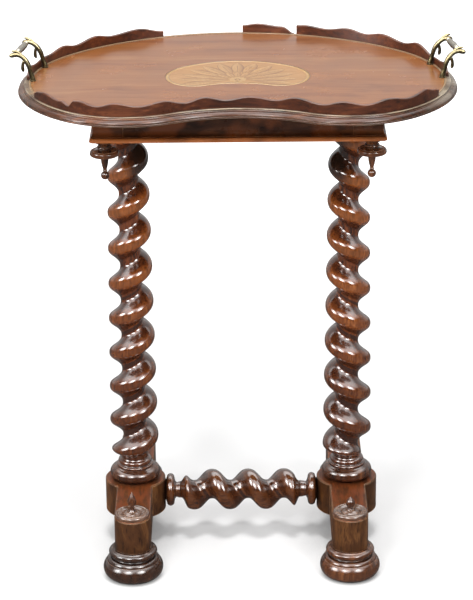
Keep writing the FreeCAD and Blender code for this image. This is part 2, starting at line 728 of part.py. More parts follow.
def make_foot_slab():
    """Right-hand slab: a round drum with a parallel arm to the front and back, ends rounded."""
    thickness = SLAB_TOP - SLAB_BOTTOM
    arm = box(-ARM_RADIUS, ARM_RADIUS, -ARM_REACH, ARM_REACH, SLAB_BOTTOM, SLAB_TOP)
    ends = [rod(ARM_RADIUS, SLAB_BOTTOM, SLAB_TOP, 0, y) for y in (-ARM_REACH, ARM_REACH)]
    slab = fuse([Part.makeCylinder(DRUM_RADIUS, thickness, V(0, 0, SLAB_BOTTOM)), arm] + ends)
    top = [e for e in slab.Edges if e.BoundBox.ZMin > SLAB_TOP - 0.01]
    slab = slab.makeChamfer(EDGE_ROUND, top)
    slab = slab.cut(rod(TENON_RADIUS, SLAB_TOP - 34, SLAB_TOP + 1))
    for y in (-ARM_REACH, ARM_REACH):
        slab = slab.cut(rod(FOOT_TENON_RADIUS, SLAB_BOTTOM - 1, SLAB_BOTTOM + 22, 0, y))
        slab = slab.cut(rod(FINIAL_STEM_RADIUS, SLAB_TOP - 12, SLAB_TOP + 1, 0, y))
    socket = Part.makeCylinder(
        STRETCHER_TENON, 22, V(-DRUM_RADIUS - 2, 0, STRETCHER_Z), V(1, 0, 0)
    )
    return move(slab.cut(socket), COLUMN_X)


def make_foot():
    """Turned foot: a ring under the slab, a groove and a broad bun, with its tenon."""
    s = SLAB_BOTTOM
    return turned((0, 0), (
        (34.0, 0), (36.4, 1.0),
        (38.0, 25.5, FOOT_RADIUS + 1.6, 12.6),
        (31.8, 31.0, 35.8, 29.8),
        (30.0, 33.4, 29.6, 31.8),
        (31.4, 34.8),
        (31.4, 42.6, 35.0, 38.7),
        (29.6, s), (FOOT_TENON_RADIUS, s), (FOOT_TENON_RADIUS, s + 21), (0, s + 21),
    ))


def make_cap():
    """Shallow dished disc on the end of an arm, bored for the finial's stem."""
    s = SLAB_TOP
    rim = CAP_RADIUS
    return turned((FINIAL_STEM_RADIUS, s), (
        (rim - 1.4, s), (rim, s + 2.6, rim - 0.1, s + 1.0),
        (rim - 2.6, s + 5.8, rim - 0.6, s + 4.8),
        (rim - 4.0, s + 5.2), (rim - 4.8, s + 6.0), (rim - 7.0, s + 6.2),
        (12.0, s + 4.0, 14.4, s + 4.5),
        (10.4, s + 5.2), (7.6, s + CAP_HEIGHT), (FINIAL_STEM_RADIUS, s + CAP_HEIGHT),
    ))


def make_finial(height):
    """Acorn-shaped finial on a waisted stem; height is from the cap's top to its tip."""
    s = SLAB_TOP + CAP_HEIGHT
    acorn = s + height / 2 - 5.0
    t = s + height
    return turned((0, s - 16), (
        (FINIAL_STEM_RADIUS, s - 16), (FINIAL_STEM_RADIUS, s), (5.6, s), (5.0, s + 1.2),
        (3.0, acorn - 1.4, 3.0, (s + acorn) / 2),
        (4.4, acorn),
        (6.4, acorn + 6.0, 6.2, acorn + 2.6),
        (3.4, (acorn + 6.0 + t) / 2 + 1.0, 5.6, acorn + 8.6),
        (0.8, t - 0.6), (0, t),
    ))


def make_stand():
    make_frame()
    pendant = make_pendant()
    save("pendant_back_right", pendant)
    save("pendant_back_left", mirror_x(pendant))
    save("pendant_front_right", mirror_y(pendant))
    save("pendant_front_left", mirror_y(mirror_x(pendant)))

    save("column_left", make_column(1, LEFT_TWIST, -COLUMN_X))
    save("column_right", make_column(-1, RIGHT_TWIST, COLUMN_X))
    for side, x in (("left", -COLUMN_X), ("right", COLUMN_X)):
        save("base_ring_" + side, make_base_ring(x))
    save("stretcher", make_stretcher())

    slab = make_foot_slab()
    save("foot_slab_right", slab)
    save("foot_slab_left", mirror_x(slab))
    foot, cap = make_foot(), make_cap()
    for side, x, height in (
        ("left", -COLUMN_X, LEFT_FINIAL_HEIGHT), ("right", COLUMN_X, RIGHT_FINIAL_HEIGHT)
    ):
        for end, y in (("front", -ARM_REACH), ("back", ARM_REACH)):
            save("foot_%s_%s" % (end, side), move(foot, x, y))
            save("cap_%s_%s" % (end, side), move(cap, x, y))
            save("finial_%s_%s" % (end, side), move(make_finial(height), x, y))


make_tray()
make_stand()
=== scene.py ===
# %% [markdown]
# # Dressing a tray top tea table
# The joiner's model arrives as a fixed frame: every board, turning and casting is already in its
# place, in metres, with +Z up and the table's front towards -Y. This file gives that frame its
# camera, its light and its surfaces, and adds the thin decorative work that a joiner's model
# leaves out: marquetry, the twisted turnings' polish, worn arrises and aged brass.

# %% Load the frame
import math

import bmesh
import bpy
from mathutils import Matrix, Vector


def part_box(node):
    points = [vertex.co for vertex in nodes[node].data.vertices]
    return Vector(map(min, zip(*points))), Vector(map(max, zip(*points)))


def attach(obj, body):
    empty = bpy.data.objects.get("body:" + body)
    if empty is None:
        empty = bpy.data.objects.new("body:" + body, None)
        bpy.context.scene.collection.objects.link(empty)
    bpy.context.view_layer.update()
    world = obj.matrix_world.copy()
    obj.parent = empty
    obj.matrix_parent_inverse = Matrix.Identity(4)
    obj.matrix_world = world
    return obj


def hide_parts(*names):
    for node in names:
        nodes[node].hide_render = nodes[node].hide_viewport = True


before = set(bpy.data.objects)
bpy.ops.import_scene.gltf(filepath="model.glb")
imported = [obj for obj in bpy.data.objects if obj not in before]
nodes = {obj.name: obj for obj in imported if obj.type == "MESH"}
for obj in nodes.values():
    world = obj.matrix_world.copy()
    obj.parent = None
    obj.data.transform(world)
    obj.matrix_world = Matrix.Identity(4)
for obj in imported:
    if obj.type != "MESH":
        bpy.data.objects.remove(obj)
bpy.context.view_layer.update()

print("nodes loaded:", len(nodes))

# %% [markdown]
# ## Camera
# The table is seen from in front and a little above, from some way off, so its uprights hardly
# lean. A long lens at that distance gives the same perspective. The camera is turned about its
# own line of sight by half a degree, as a hand-levelled camera often is.

# %% Camera
CAMERA_PLACE = Vector((0.0, -3.400, 1.700))
CAMERA_PITCH = 21.3          # degrees below the horizon
CAMERA_ROLL = -0.48          # degrees about the line of sight
CAMERA_SENSOR = 36.0         # millimetres, the longer side
CAMERA_LENS = 150.66
CAMERA_SHIFT = -0.005


def new_object(name, data):
    """An object in the scene, at the origin."""
    thing = bpy.data.objects.new(name, data)
    bpy.context.scene.collection.objects.link(thing)
    return thing


camera_data = bpy.data.cameras.new("camera")
camera_data.lens = CAMERA_LENS
camera_data.sensor_width = CAMERA_SENSOR
camera_data.shift_x = CAMERA_SHIFT
camera = new_object("camera", camera_data)
look = Matrix.Rotation(math.radians(90.0 - CAMERA_PITCH), 4, "X")
roll = Matrix.Rotation(math.radians(CAMERA_ROLL), 4, "Z")
camera.matrix_world = Matrix.Translation(CAMERA_PLACE) @ look @ roll
bpy.context.scene.camera = camera
bpy.context.scene.view_settings.view_transform = "Standard"
print("camera at", tuple(round(v, 3) for v in camera.location))

# %% [markdown]
# ## Helpers for node trees
# Materials, the world and Geometry Nodes are all trees of nodes. One short helper adds a node,
# sets its options and fills its sockets with values or with links, so that a tree reads from
# top to bottom like a recipe. The others each make one node that comes up again and again.


# %% Node helpers
def put(tree, kind, inputs=None, **options):
    """Adds one node; inputs maps a socket's name or number to a value or to another socket."""
    node = tree.nodes.new(kind)
    for name, value in options.items():
        setattr(node, name, value)
    for key, value in (inputs or {}).items():
        if isinstance(value, bpy.types.NodeSocket):
            tree.links.new(value, node.inputs[key])
        else:
            node.inputs[key].default_value = value
    return node


def reckon(tree, operation, *values):
    """One Math node on numbers or sockets."""
    return put(tree, "ShaderNodeMath", dict(enumerate(values)), operation=operation).outputs[0]


def product(tree, first, *others):
    """All the values multiplied, one Math node after another."""
    for value in others:
        first = reckon(tree, "MULTIPLY", first, value)
    return first


def ranged(tree, value, low, high, to_low=0.0, to_high=1.0):
    """Maps low..high to to_low..to_high, smoothly and clamped."""
    return put(tree, "ShaderNodeMapRange", {
        "Value": value, "From Min": low, "From Max": high, "To Min": to_low, "To Max": to_high,
    }, interpolation_type="SMOOTHSTEP").outputs["Result"]


def vectors(tree, operation, first, second=(0.0, 0.0, 0.0)):
    """One Vector Math node; returns its outputs."""
    return put(tree, "ShaderNodeVectorMath", {0: first, 1: second}, operation=operation).outputs


def part_of(tree, place, axis):
    """One of the three numbers of a place."""
    return put(tree, "ShaderNodeSeparateXYZ", {0: place}).outputs[axis]


def noise_on(tree, place, per_metre, detail, roughness=0.5):
    """Noise from 0 to 1, with about so many lumps in a metre."""
    return put(tree, "ShaderNodeTexNoise", {
        "Vector": place, "Scale": per_metre, "Detail": detail, "Roughness": roughness,
    }).outputs["Fac"]


def blend_colour(tree, share, first, second):
    """Mixes two colours; share, first and second are values or sockets."""
    return put(tree, "ShaderNodeMix", {0: share, 6: first, 7: second}, data_type="RGBA").outputs[2]


def new_group(name, inputs, outputs):
    """An empty shader group; returns its tree, its input sockets and its output sockets."""
    tree = bpy.data.node_groups.new(name, "ShaderNodeTree")
    for label, kind, value in inputs:
        socket = tree.interface.new_socket(label, in_out="INPUT", socket_type="NodeSocket" + kind)
        if value is not None:
            socket.default_value = value
    for label, kind in outputs:
        tree.interface.new_socket(label, in_out="OUTPUT", socket_type="NodeSocket" + kind)
    return tree, tree.nodes.new("NodeGroupInput").outputs, tree.nodes.new("NodeGroupOutput").inputs


def use_group(tree, group, inputs):
    return put(tree, "ShaderNodeGroup", inputs, node_tree=group).outputs


def new_material(name):
    """A material and its tree, still empty."""
    material = bpy.data.materials.new(name)
    material.use_nodes = True
    material.node_tree.nodes.clear()
    return material, material.node_tree


def by_ray(tree, is_ray, others, these):
    """One number for a kind of ray, from Light Path, and another for the others."""
    return put(tree, "ShaderNodeMix", {0: is_ray, 2: others, 3: these},
               data_type="FLOAT").outputs[0]


def paint(red, green, blue):
    """A colour picked on screen, 0 to 255, as the linear colour that a shader wants."""
    def linear(c):
        c /= 255.0
        return c / 12.92 if c <= 0.04045 else ((c + 0.055) / 1.055) ** 2.4
    return (linear(red), linear(green), linear(blue), 1.0)


print("helpers ready")

# %% [markdown]
# ## Wood grain, shared by every timber
# Polished timber shows four things at arm's length: slow clouds of colour across the board,
# streaks that run with the grain, dark flecks a few millimetres long, and fine pores. All four
# are noise that is stretched along one axis. The group expects a position whose X runs with
# the grain, so each material only has to turn its coordinates.

# %% Grain group
STREAK_PULL, FLECK_PULL, PORE_PULL = 0.07, 0.16, 0.045   # the smaller, the longer the marks
FLECKS, PORES, CLOUDS, SWIRLS = 420.0, 1400.0, 26.0, 9.0   # in a metre, across the grain
SWIRL_REACH = 0.05           # metres between the furthest bends of a grain that wanders fully


def make_grain():
    """Wood's colour and relief."""
    tree, given, made = new_group("grain", (
        ("Position", "Vector", None), ("Dark", "Color", None), ("Middle", "Color", None),
        ("Light", "Color", None), ("Streaks per metre", "Float", 160.0),
        ("Pore strength", "Float", 0.5), ("Fleck strength", "Float", 0.3),
        ("Wander", "Float", 0.35),
    ), (("Color", "Color"), ("Height", "Float")))

    def drawn_out(share):
        """The position squeezed along the grain, so that noise on it comes out as streaks."""
        return vectors(tree, "MULTIPLY", given["Position"], (share, 1.0, 1.0))[0]

    swirls = put(tree, "ShaderNodeTexNoise", {
        "Vector": given["Position"], "Scale": SWIRLS, "Detail": 2.0}).outputs["Color"]
    centred = vectors(tree, "SUBTRACT", swirls, (0.5, 0.5, 0.5))[0]
    bent = put(tree, "ShaderNodeVectorMath", {
        0: centred, "Scale": product(tree, given["Wander"], SWIRL_REACH),
    }, operation="SCALE").outputs[0]
    place = vectors(tree, "ADD", drawn_out(STREAK_PULL), bent)[0]
    streaks = noise_on(tree, place, given["Streaks per metre"], 5.0, 0.62)
    clouds = noise_on(tree, place, CLOUDS, 3.0)
    pore = ranged(tree, noise_on(tree, drawn_out(PORE_PULL), PORES, 2.0), 0.60, 0.72)
    fleck = ranged(tree, noise_on(tree, drawn_out(FLECK_PULL), FLECKS, 3.0, 0.6), 0.54, 0.68)
    figure = reckon(tree, "ADD", product(tree, streaks, 0.6), product(tree, clouds, 0.4))
    low = blend_colour(tree, ranged(tree, figure, 0.36, 0.50), given["Dark"], given["Middle"])
    colour = blend_colour(tree, ranged(tree, figure, 0.50, 0.66), low, given["Light"])
    for mark, strength in ((fleck, "Fleck strength"), (pore, "Pore strength")):
        colour = blend_colour(tree, product(tree, mark, given[strength]), colour, given["Dark"])
    height = reckon(tree, "SUBTRACT", product(tree, streaks, 0.25), product(tree, pore, 0.6))
    tree.links.new(colour, made["Color"])
    tree.links.new(height, made["Height"])
    return tree


grain = make_grain()
print("grain group:", len(grain.nodes), "nodes")

# %% [markdown]
# ## Age: rubbed arrises, and dirt and painted shade in the corners
# Hands and dusters rub the polish off outer edges, and wax and dirt stay in the quirks and
# grooves; the darkening there also stands for the shade that falls in them, so it is dirt and
# painted shade together. A Bevel node sees an edge wherever the rounded normal leaves the true
# one, and Ambient Occlusion sees a recess. Broken up with noise, the two make a convincing
# patina, with painted shade, on any shape, with no painting by hand. A thin veneer has no edge
# to rub, so its bevel is 0.

# %% Patina group
EDGE_SEEN = (0.995, 0.86)    # how far the two normals agree, from a flat to a sharp edge
RECESS_SEEN = (0.80, 0.30)   # how open a place is, from a hollow's rim to its bottom
WORN_PATCHES = 70.0          # in a metre
PATINA_RAYS = 6


def make_patina():
    """Rubs a colour pale on its edges, in patches, and darkens its recesses: dirt and painted
    shade.
    """
    tree, given, made = new_group("patina", (
        ("Color", "Color", None), ("Worn", "Color", None), ("Dirt and shade", "Color", None),
        ("Wear", "Float", 0.5), ("Recess darkening", "Float", 0.6), ("Edge", "Float", 0.0016),
        ("Reach", "Float", 0.012),
    ), (("Color", "Color"), ("Dirt and shade", "Float")))
    rounded = put(tree, "ShaderNodeBevel", {"Radius": given["Edge"]}, samples=PATINA_RAYS)
    true_normal = put(tree, "ShaderNodeNewGeometry").outputs["Normal"]
    agree = vectors(tree, "DOT_PRODUCT", rounded.outputs[0], true_normal)["Value"]
    place = put(tree, "ShaderNodeTexCoord").outputs["Object"]
    patches = noise_on(tree, place, WORN_PATCHES, 4.0, 0.65)
    open_sky = put(tree, "ShaderNodeAmbientOcclusion", {"Distance": given["Reach"]},
                   samples=PATINA_RAYS).outputs["AO"]
    recess = ranged(tree, open_sky, *RECESS_SEEN)
    wear = product(tree, ranged(tree, agree, *EDGE_SEEN), ranged(tree, patches, 0.30, 0.62),
                   reckon(tree, "SUBTRACT", 1.0, recess), given["Wear"])
    # darkening in recesses: dirt and painted shade
    dirt_and_shade = product(tree, recess, given["Recess darkening"])
    rubbed = blend_colour(tree, wear, given["Color"], given["Worn"])
    tree.links.new(blend_colour(tree, dirt_and_shade, rubbed, given["Dirt and shade"]), made["Color"])
    tree.links.new(dirt_and_shade, made["Dirt and shade"])
    return tree


patina = make_patina()
print("patina group:", len(patina.nodes), "nodes")

# %% [markdown]
# ## One recipe for polished timber
# Polish is a thin clear coat over coloured wood, so the shader gets a coat of its own above a
# duller base. The recipe takes three colours, the direction of the grain and how glossy the
# piece still is, and leaves room for a tint that follows the shape.

# %% Polished timber
GRAIN_TURN = {"X": (0.0, 0.0, 0.0), "Y": (0.0, 0.0, math.pi / 2), "Z": (0.0, math.pi / 2, 0.0)}
# the dark of the recesses: dirt and painted shade
GRIME_AND_SHADE = paint(20, 11, 8)
SMEARS = 14.0                # in a metre
GRAIN_DEPTH = 0.0006
WOOD_IOR, COAT_IOR, COAT_ROUGHNESS = 1.45, 1.5, 0.11


def timber(name, dark, middle, light, along="X", streaks=160.0, pores=0.5, flecks=0.3,
           wander=0.35, worn=None, wear=0.5, dirt_and_shade=0.6, edge=0.0016, reach=0.012, gloss=0.25,
           coat=0.3, bump=0.10, shine=0.5, tint=None):
    """A polished wood, from three colours and the way that its grain runs.

    Wear, dirt and shade, edge and reach go to the patina, whose darkening in recesses is dirt
    and painted shade. Gloss is the roughness under the polish, coat the polish's strength and
    shine how much the bare wood reflects. A function tint(tree, place, colour) may recolour it
    by its place on the table.
    """
    material, tree = new_material(name)
    place = put(tree, "ShaderNodeTexCoord").outputs["Object"]
    turned = put(tree, "ShaderNodeMapping", {"Vector": place, "Rotation": GRAIN_TURN[along]})
    wood = use_group(tree, grain, {
        "Position": turned.outputs[0], "Dark": paint(*dark), "Middle": paint(*middle),
        "Light": paint(*light), "Streaks per metre": streaks, "Pore strength": pores,
        "Fleck strength": flecks, "Wander": wander,
    })
    aged = use_group(tree, patina, {
        "Color": tint(tree, place, wood["Color"]) if tint else wood["Color"],
        "Worn": paint(*(worn or light)), "Dirt and shade": GRIME_AND_SHADE, "Wear": wear, "Recess darkening": dirt_and_shade,
        "Edge": edge, "Reach": reach,
    })
    smears = noise_on(tree, place, SMEARS, 5.0, 0.6)
    rough = ranged(tree, smears, 0.3, 0.7, gloss * 0.8, gloss * 1.3)
    relief = put(tree, "ShaderNodeBump", {
        "Strength": bump, "Distance": GRAIN_DEPTH, "Height": wood["Height"]}).outputs[0]
    shader = put(tree, "ShaderNodeBsdfPrincipled", {
        "Base Color": aged["Color"], "Normal": relief, "IOR": WOOD_IOR,
        "Roughness": reckon(tree, "ADD", rough, product(tree, aged["Dirt and shade"], 0.25)),
        "Specular IOR Level": shine, "Coat Weight": coat, "Coat Roughness": COAT_ROUGHNESS,
        "Coat IOR": COAT_IOR,
    })
    put(tree, "ShaderNodeOutputMaterial", {"Surface": shader.outputs[0]})
    return material


def dress(material, *names):
    """Gives nodes or pieces their finish."""
    for name in names:
        mesh = (nodes.get(name) or bpy.data.objects[name]).data
        mesh.materials.clear()
        mesh.materials.append(material)


print("timber recipe ready")

# %% [markdown]
# ## Timbers of the tray
# The panel is mahogany that age and light have turned from red-brown to a warm tan, with its
# grain from side to side. The gallery and the moulded edge are the same wood under a darker
# stain. The narrow bead at the gallery's foot has lost its colour to dusters, which leaves a thin
# pale line all round. The arris outside the gallery and the moulding's lower bead are worn pale
# in patches and carry a painted highlight besides. Both ends of the moulding, the right one most,
# carry a pale grey painted reflection. Heights and places pick out these members, so that one
# material serves the whole moulding.

# %% Tray timbers
PANEL_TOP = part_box("tray_inlay")[1].z
BARE_BROWN = paint(92, 62, 40)
BEAD_PALE = paint(184, 150, 108)
# the arris and the lower bead: worn pale, with a painted highlight
ARRIS_WEAR_AND_HIGHLIGHT = paint(196, 180, 152)
# pale grey painted reflection on the moulding's ends
END_PAINTED_SHEEN = paint(158, 146, 130)
RIGHT_END, LEFT_END = (0.235, 0.300), (-0.250, -0.310)   # X where the painted reflection starts and is full


def below_panel(tree, place, first, second, *shares):
    """A share that changes from one depth below the panel's face to another, in metres."""
    return ranged(tree, part_of(tree, place, "Z"), PANEL_TOP - first, PANEL_TOP - second, *shares)


def panel_tint(tree, place, colour):
    """Below its polished face the board is bare and greyer."""
    return blend_colour(tree, below_panel(tree, place, 0.009, 0.0125), colour, BARE_BROWN)


def moulding_tint(tree, place, colour):
    """Painted grey reflections at the ends, a pale bead at the gallery's foot, and a worn arris and
    lower bead with a painted highlight.
    """
    patches = noise_on(tree, place, 22.0, 4.0)
    sideways = part_of(tree, place, "X")
    # painted reflection on both ends, the right one fullest
    ends = reckon(tree, "ADD", ranged(tree, sideways, *RIGHT_END),
                  ranged(tree, sideways, *LEFT_END, 0.0, 0.35))
    painted_end_sheen = product(tree, ends, ranged(tree, patches, 0.32, 0.58, 0.15, 0.75),
                       below_panel(tree, place, 0.0090, 0.0050))
    gallery_bead = below_panel(tree, place, -0.0002, -0.0007, 0.0, 0.65)
    # the arris and the lower bead: wear in patches and a painted highlight
    arris = product(tree, below_panel(tree, place, 0.0016, 0.0006),
                    below_panel(tree, place, -0.0002, 0.0002))
    low_bead = below_panel(tree, place, 0.0108, 0.0116)
    worn = product(tree, reckon(tree, "MAXIMUM", arris, low_bead),
                   ranged(tree, patches, 0.30, 0.60, 0.10, 0.65))
    colour = blend_colour(tree, painted_end_sheen, colour, END_PAINTED_SHEEN)
    colour = blend_colour(tree, gallery_bead, colour, BEAD_PALE)
    return blend_colour(tree, worn, colour, ARRIS_WEAR_AND_HIGHLIGHT)


panel_wood = timber(
    "panel mahogany", (132, 78, 42), (150, 94, 52), (164, 110, 64), streaks=70.0, pores=0.16,
    flecks=0.10, wander=0.5, wear=0.2, dirt_and_shade=0.5, gloss=0.22, coat=0.05, bump=0.04,
    tint=panel_tint)
moulding_wood = timber(
    "moulding mahogany", (30, 15, 8), (66, 34, 17), (112, 64, 34), streaks=140.0, pores=0.4,
    worn=(182, 156, 126), wear=0.45, dirt_and_shade=0.8, reach=0.010, gloss=0.30, coat=0.10, shine=0.3,
    tint=moulding_tint)
gallery_wood = timber(
    "gallery mahogany", (38, 17, 9), (76, 37, 19), (112, 60, 33), streaks=200.0, pores=0.4,
    flecks=0.5, worn=(168, 118, 80), wear=0.6, dirt_and_shade=0.5, edge=0.0009, gloss=0.34, coat=0.05)
dress(panel_wood, "tray_board")
dress(moulding_wood, "tray_edge_moulding")
dress(gallery_wood, "gallery_front", "gallery_front_left", "gallery_back_left",
      "gallery_back_centre", "gallery_back_right")
print("tray dressed, panel top at", round(PANEL_TOP, 4))

# %% [markdown]
# ## Veneers
# Satinwood is pale gold with a fine, silky streak. It is the ground of the inlay, so it has to
# stay quiet behind the marquetry. The leaves of the marquetry are cut from the same pale wood
# and shaded in hot sand, which scorches each leaf along one side and at its foot. Two numbers
# stored on every leaf, how far along and how far across it a point lies, let the material put
# that shade, the knife line and the midrib in the right place whatever the leaf's size.

# %% Satinwood ground and banding
VENEER = dict(wear=0.0, dirt_and_shade=0.2, edge=0.0, gloss=0.22, coat=0.05, bump=0.03)
satinwood = timber(
    "satinwood", (168, 116, 62), (186, 134, 76), (198, 150, 92), streaks=300.0, pores=0.12,
    flecks=0.10, wander=0.8, **VENEER)
banding_wood = timber(
    "banding", (180, 136, 80), (196, 152, 94), (206, 166, 108), streaks=420.0, pores=0.10,
    flecks=0.08, wander=0.5, **VENEER)
stringing_wood = timber(
    "stringing", (92, 62, 40), (116, 82, 54), (138, 100, 68), streaks=300.0, pores=0.3,
    flecks=0.2, **dict(VENEER, gloss=0.25))
dress(satinwood, "tray_inlay")
print("inlay's ground dressed")

# %% Sand-shaded leaves
KNIFE_BROWN = paint(128, 86, 50)
SCORCH_BROWN = paint(152, 104, 60)


def leaf_tint(tree, place, colour):
    """Scorched along one side and at the foot, with a thin dark line round the leaf."""
    across = put(tree, "ShaderNodeAttribute", attribute_name="across").outputs["Fac"]
    along = put(tree, "ShaderNodeAttribute", attribute_name="along").outputs["Fac"]
    side = ranged(tree, across, -0.1, 1.0, 0.0, 0.75)
    foot = ranged(tree, along, 0.45, 0.0, 0.0, 0.8)
    colour = blend_colour(tree, reckon(tree, "MAXIMUM", side, foot), colour, SCORCH_BROWN)
    off_middle = reckon(tree, "ABSOLUTE", across)
    outline = ranged(tree, off_middle, 0.80, 0.92)
    midrib = product(tree, ranged(tree, off_middle, 0.09, 0.03), ranged(tree, along, 0.85, 0.70))
    line = product(tree, reckon(tree, "MAXIMUM", outline, midrib), 0.8)
    return blend_colour(tree, line, colour, KNIFE_BROWN)


leaf_wood = timber(
    "shaded leaf", (176, 128, 74), (192, 144, 86), (202, 158, 100), "Y", streaks=340.0,
    pores=0.10, flecks=0.08, wander=1.2, tint=leaf_tint, **dict(VENEER, dirt_and_shade=0.0))
print("veneers ready")

# %% [markdown]
# ## Walnut of the stand
# The stand is walnut under a red-brown polish. Its frieze is the darkest part, with warm patches
# of painted reflection, and its lower bead the brightest, worn by hands and dusters and with a
# painted highlight. On the twists the crests carry a painted highlight and the flanks and the
# seams between the lobes carry painted shade. The caps on the feet are rubbed at their edges
# and painted pale all over for the sheen on their dishes. Each of these is the timber recipe
# again, with a tint that finds its place by height, by distance from the middle or by a number
# that the twist carries.

# %% Shades of the stand
BEAD_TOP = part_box("rail_front")[0].z + 0.0082
SLAB_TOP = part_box("foot_slab_left")[1].z
COLUMN_X = (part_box("base_ring_right")[0].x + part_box("base_ring_right")[1].x) / 2
# the frame's lower bead: wear and a painted highlight
BEAD_WEAR_AND_HIGHLIGHT = paint(172, 100, 52)
# warm patches of painted reflection on the frieze
FRIEZE_PAINTED_SHEEN = paint(112, 58, 27)
SLAB_BROWN = paint(132, 68, 34)
# painted shade in the seam where two lobes meet
SEAM_PAINTED_SHADE = paint(50, 24, 13)
# worn crests with a painted highlight
CREST_WEAR_AND_HIGHLIGHT = paint(184, 110, 50)
# painted shade on the flanks
FLANK_PAINTED_SHADE = paint(50, 22, 11)
LOW_BROWN = paint(62, 32, 17)
# dark old polish on the left feet, and the painted shadow of the frame on the columns' tops
DARK_POLISH_AND_SHADOW = paint(34, 26, 22)


def frame_tint(tree, place, colour):
    """The frieze has warm patches of painted reflection, and its lower bead is brighter still, worn
    and with a painted highlight.
    """
    # warm patches of painted reflection
    warm = ranged(tree, noise_on(tree, place, 19.0, 2.0), 0.46, 0.60, 0.0, 0.80)
    colour = blend_colour(tree, warm, colour, FRIEZE_PAINTED_SHEEN)
    # the bead: wear and a painted highlight
    bead = product(tree, ranged(tree, part_of(tree, place, "Z"), BEAD_TOP, BEAD_TOP - 0.0008),
                   ranged(tree, noise_on(tree, place, 25.0, 3.0), 0.25, 0.6, 0.45, 0.95))
    return blend_colour(tree, bead, colour, BEAD_WEAR_AND_HIGHLIGHT)


def slab_tint(tree, place, colour):
    """The slabs' flat tops are redder and brighter than their sides, with long streaks."""
    lengthways = vectors(tree, "MULTIPLY", place, (1.0, 0.12, 1.0))[0]
    top = product(tree, ranged(tree, part_of(tree, place, "Z"), SLAB_TOP - 0.0012,
                               SLAB_TOP - 0.0003),
                  ranged(tree, noise_on(tree, lengthways, 190.0, 5.0, 0.65),
                         0.38, 0.60, 0.15, 0.95))
    return blend_colour(tree, top, colour, SLAB_BROWN)


def twist_tint_and_shade(tree, place, colour):
    """A twist carries a number that is 0 on its crests and 1 at the bottom of its grooves.

    The crests are worn and carry a painted highlight, brighter towards the top; the flanks
    carry painted shade, and a painted shade draws a dark seam where the lobes meet. The wood is
    darker towards the floor, and a painted shadow of the frame makes it nearly black close
    under the frame, on the sides that face the other column.
    """
    groove = put(tree, "ShaderNodeAttribute", attribute_name="groove").outputs["Fac"]
    height = part_of(tree, place, "Z")
    off_middle = reckon(tree, "ABSOLUTE", part_of(tree, place, "X"))
    shades = (
        # worn crests with a painted highlight, more towards the top
        (product(tree, ranged(tree, groove, 0.40, 0.05),
                 ranged(tree, height, 0.25, 0.55, 0.05, 0.25)), CREST_WEAR_AND_HIGHLIGHT),
        # painted shade on the flanks
        (product(tree, ranged(tree, groove, 0.28, 0.55, 0.0, 0.70),
                 ranged(tree, groove, 0.94, 0.80)), FLANK_PAINTED_SHADE),
        # darker towards the floor
        (ranged(tree, height, 0.44, 0.16, 0.0, 0.58), LOW_BROWN),
        # painted shadow of the frame, close under it, on the inner sides
        (product(tree, ranged(tree, height, 0.545, 0.575),
                 ranged(tree, off_middle, COLUMN_X + 0.006, COLUMN_X - 0.014, 0.0, 0.9)),
         DARK_POLISH_AND_SHADOW),
        # painted shade in the seam between the lobes
        (ranged(tree, groove, 0.955, 0.99, 0.0, 0.85), SEAM_PAINTED_SHADE),
    )
    for share, shade in shades:
        colour = blend_colour(tree, share, colour, shade)
    return colour


def foot_tint(tree, place, colour):
    """The left-hand feet keep their old, nearly black polish."""
    left = product(tree, ranged(tree, part_of(tree, place, "X"), 0.0, -0.05, 0.0, 0.65),
                   ranged(tree, part_of(tree, place, "Z"), 0.12, 0.08))
    return blend_colour(tree, left, colour, DARK_POLISH_AND_SHADOW)


print("bead top at", round(BEAD_TOP, 4), "slab top at", round(SLAB_TOP, 4))

# %% Stand timbers
FRAME = dict(streaks=90.0, pores=0.5, flecks=0.5, wander=0.9, worn=(166, 108, 66), wear=0.7,
             dirt_and_shade=0.7, gloss=0.26, coat=0.05, shine=0.3, tint=frame_tint)
TWISTED = dict(wander=0.6, gloss=0.20, coat=0.75, bump=0.06, tint=twist_tint_and_shade)
frame_wood, side_frame_wood = (
    timber(name, (34, 16, 8), (66, 35, 18), (98, 56, 30), along, **FRAME)
    for name, along in (("frame walnut", "X"), ("frame walnut side", "Y")))
turned_wood = timber(
    "turned walnut", (40, 20, 11), (84, 47, 26), (126, 76, 43), "Z", streaks=120.0, flecks=0.55,
    worn=(190, 142, 108), wear=0.9, dirt_and_shade=0.8, edge=0.0020, reach=0.008, gloss=0.20, coat=0.35,
    tint=foot_tint)
# pale all over as a painted sheen on the dishes, and worn at the edges
cap_wood_with_sheen = timber(
    "rubbed walnut with painted sheen", (62, 40, 30), (108, 76, 58), (150, 116, 94), streaks=120.0, flecks=0.5,
    worn=(200, 164, 136), wear=0.9, dirt_and_shade=0.35, edge=0.0020, reach=0.006, gloss=0.22, coat=0.6)
column_wood = timber(
    "column walnut", (46, 20, 9), (112, 56, 24), (162, 94, 46), "Z", streaks=260.0, pores=0.6,
    flecks=0.85, worn=(186, 122, 74), wear=0.3, dirt_and_shade=0.7, reach=0.011, **TWISTED)
stretcher_wood = timber(
    "stretcher walnut", (62, 31, 15), (126, 72, 38), (176, 112, 64), "X", streaks=130.0,
    pores=0.45, flecks=0.75, worn=(176, 118, 76), wear=0.4, dirt_and_shade=0.8, reach=0.016, **TWISTED)
base_wood = timber(
    "base walnut", (36, 20, 10), (76, 45, 22), (116, 74, 38), "Z", streaks=70.0, pores=0.6,
    flecks=0.8, wander=1.6, worn=(204, 162, 124), wear=1.0, dirt_and_shade=0.7, edge=0.0022, gloss=0.36,
    coat=0.02, shine=0.22, tint=slab_tint)
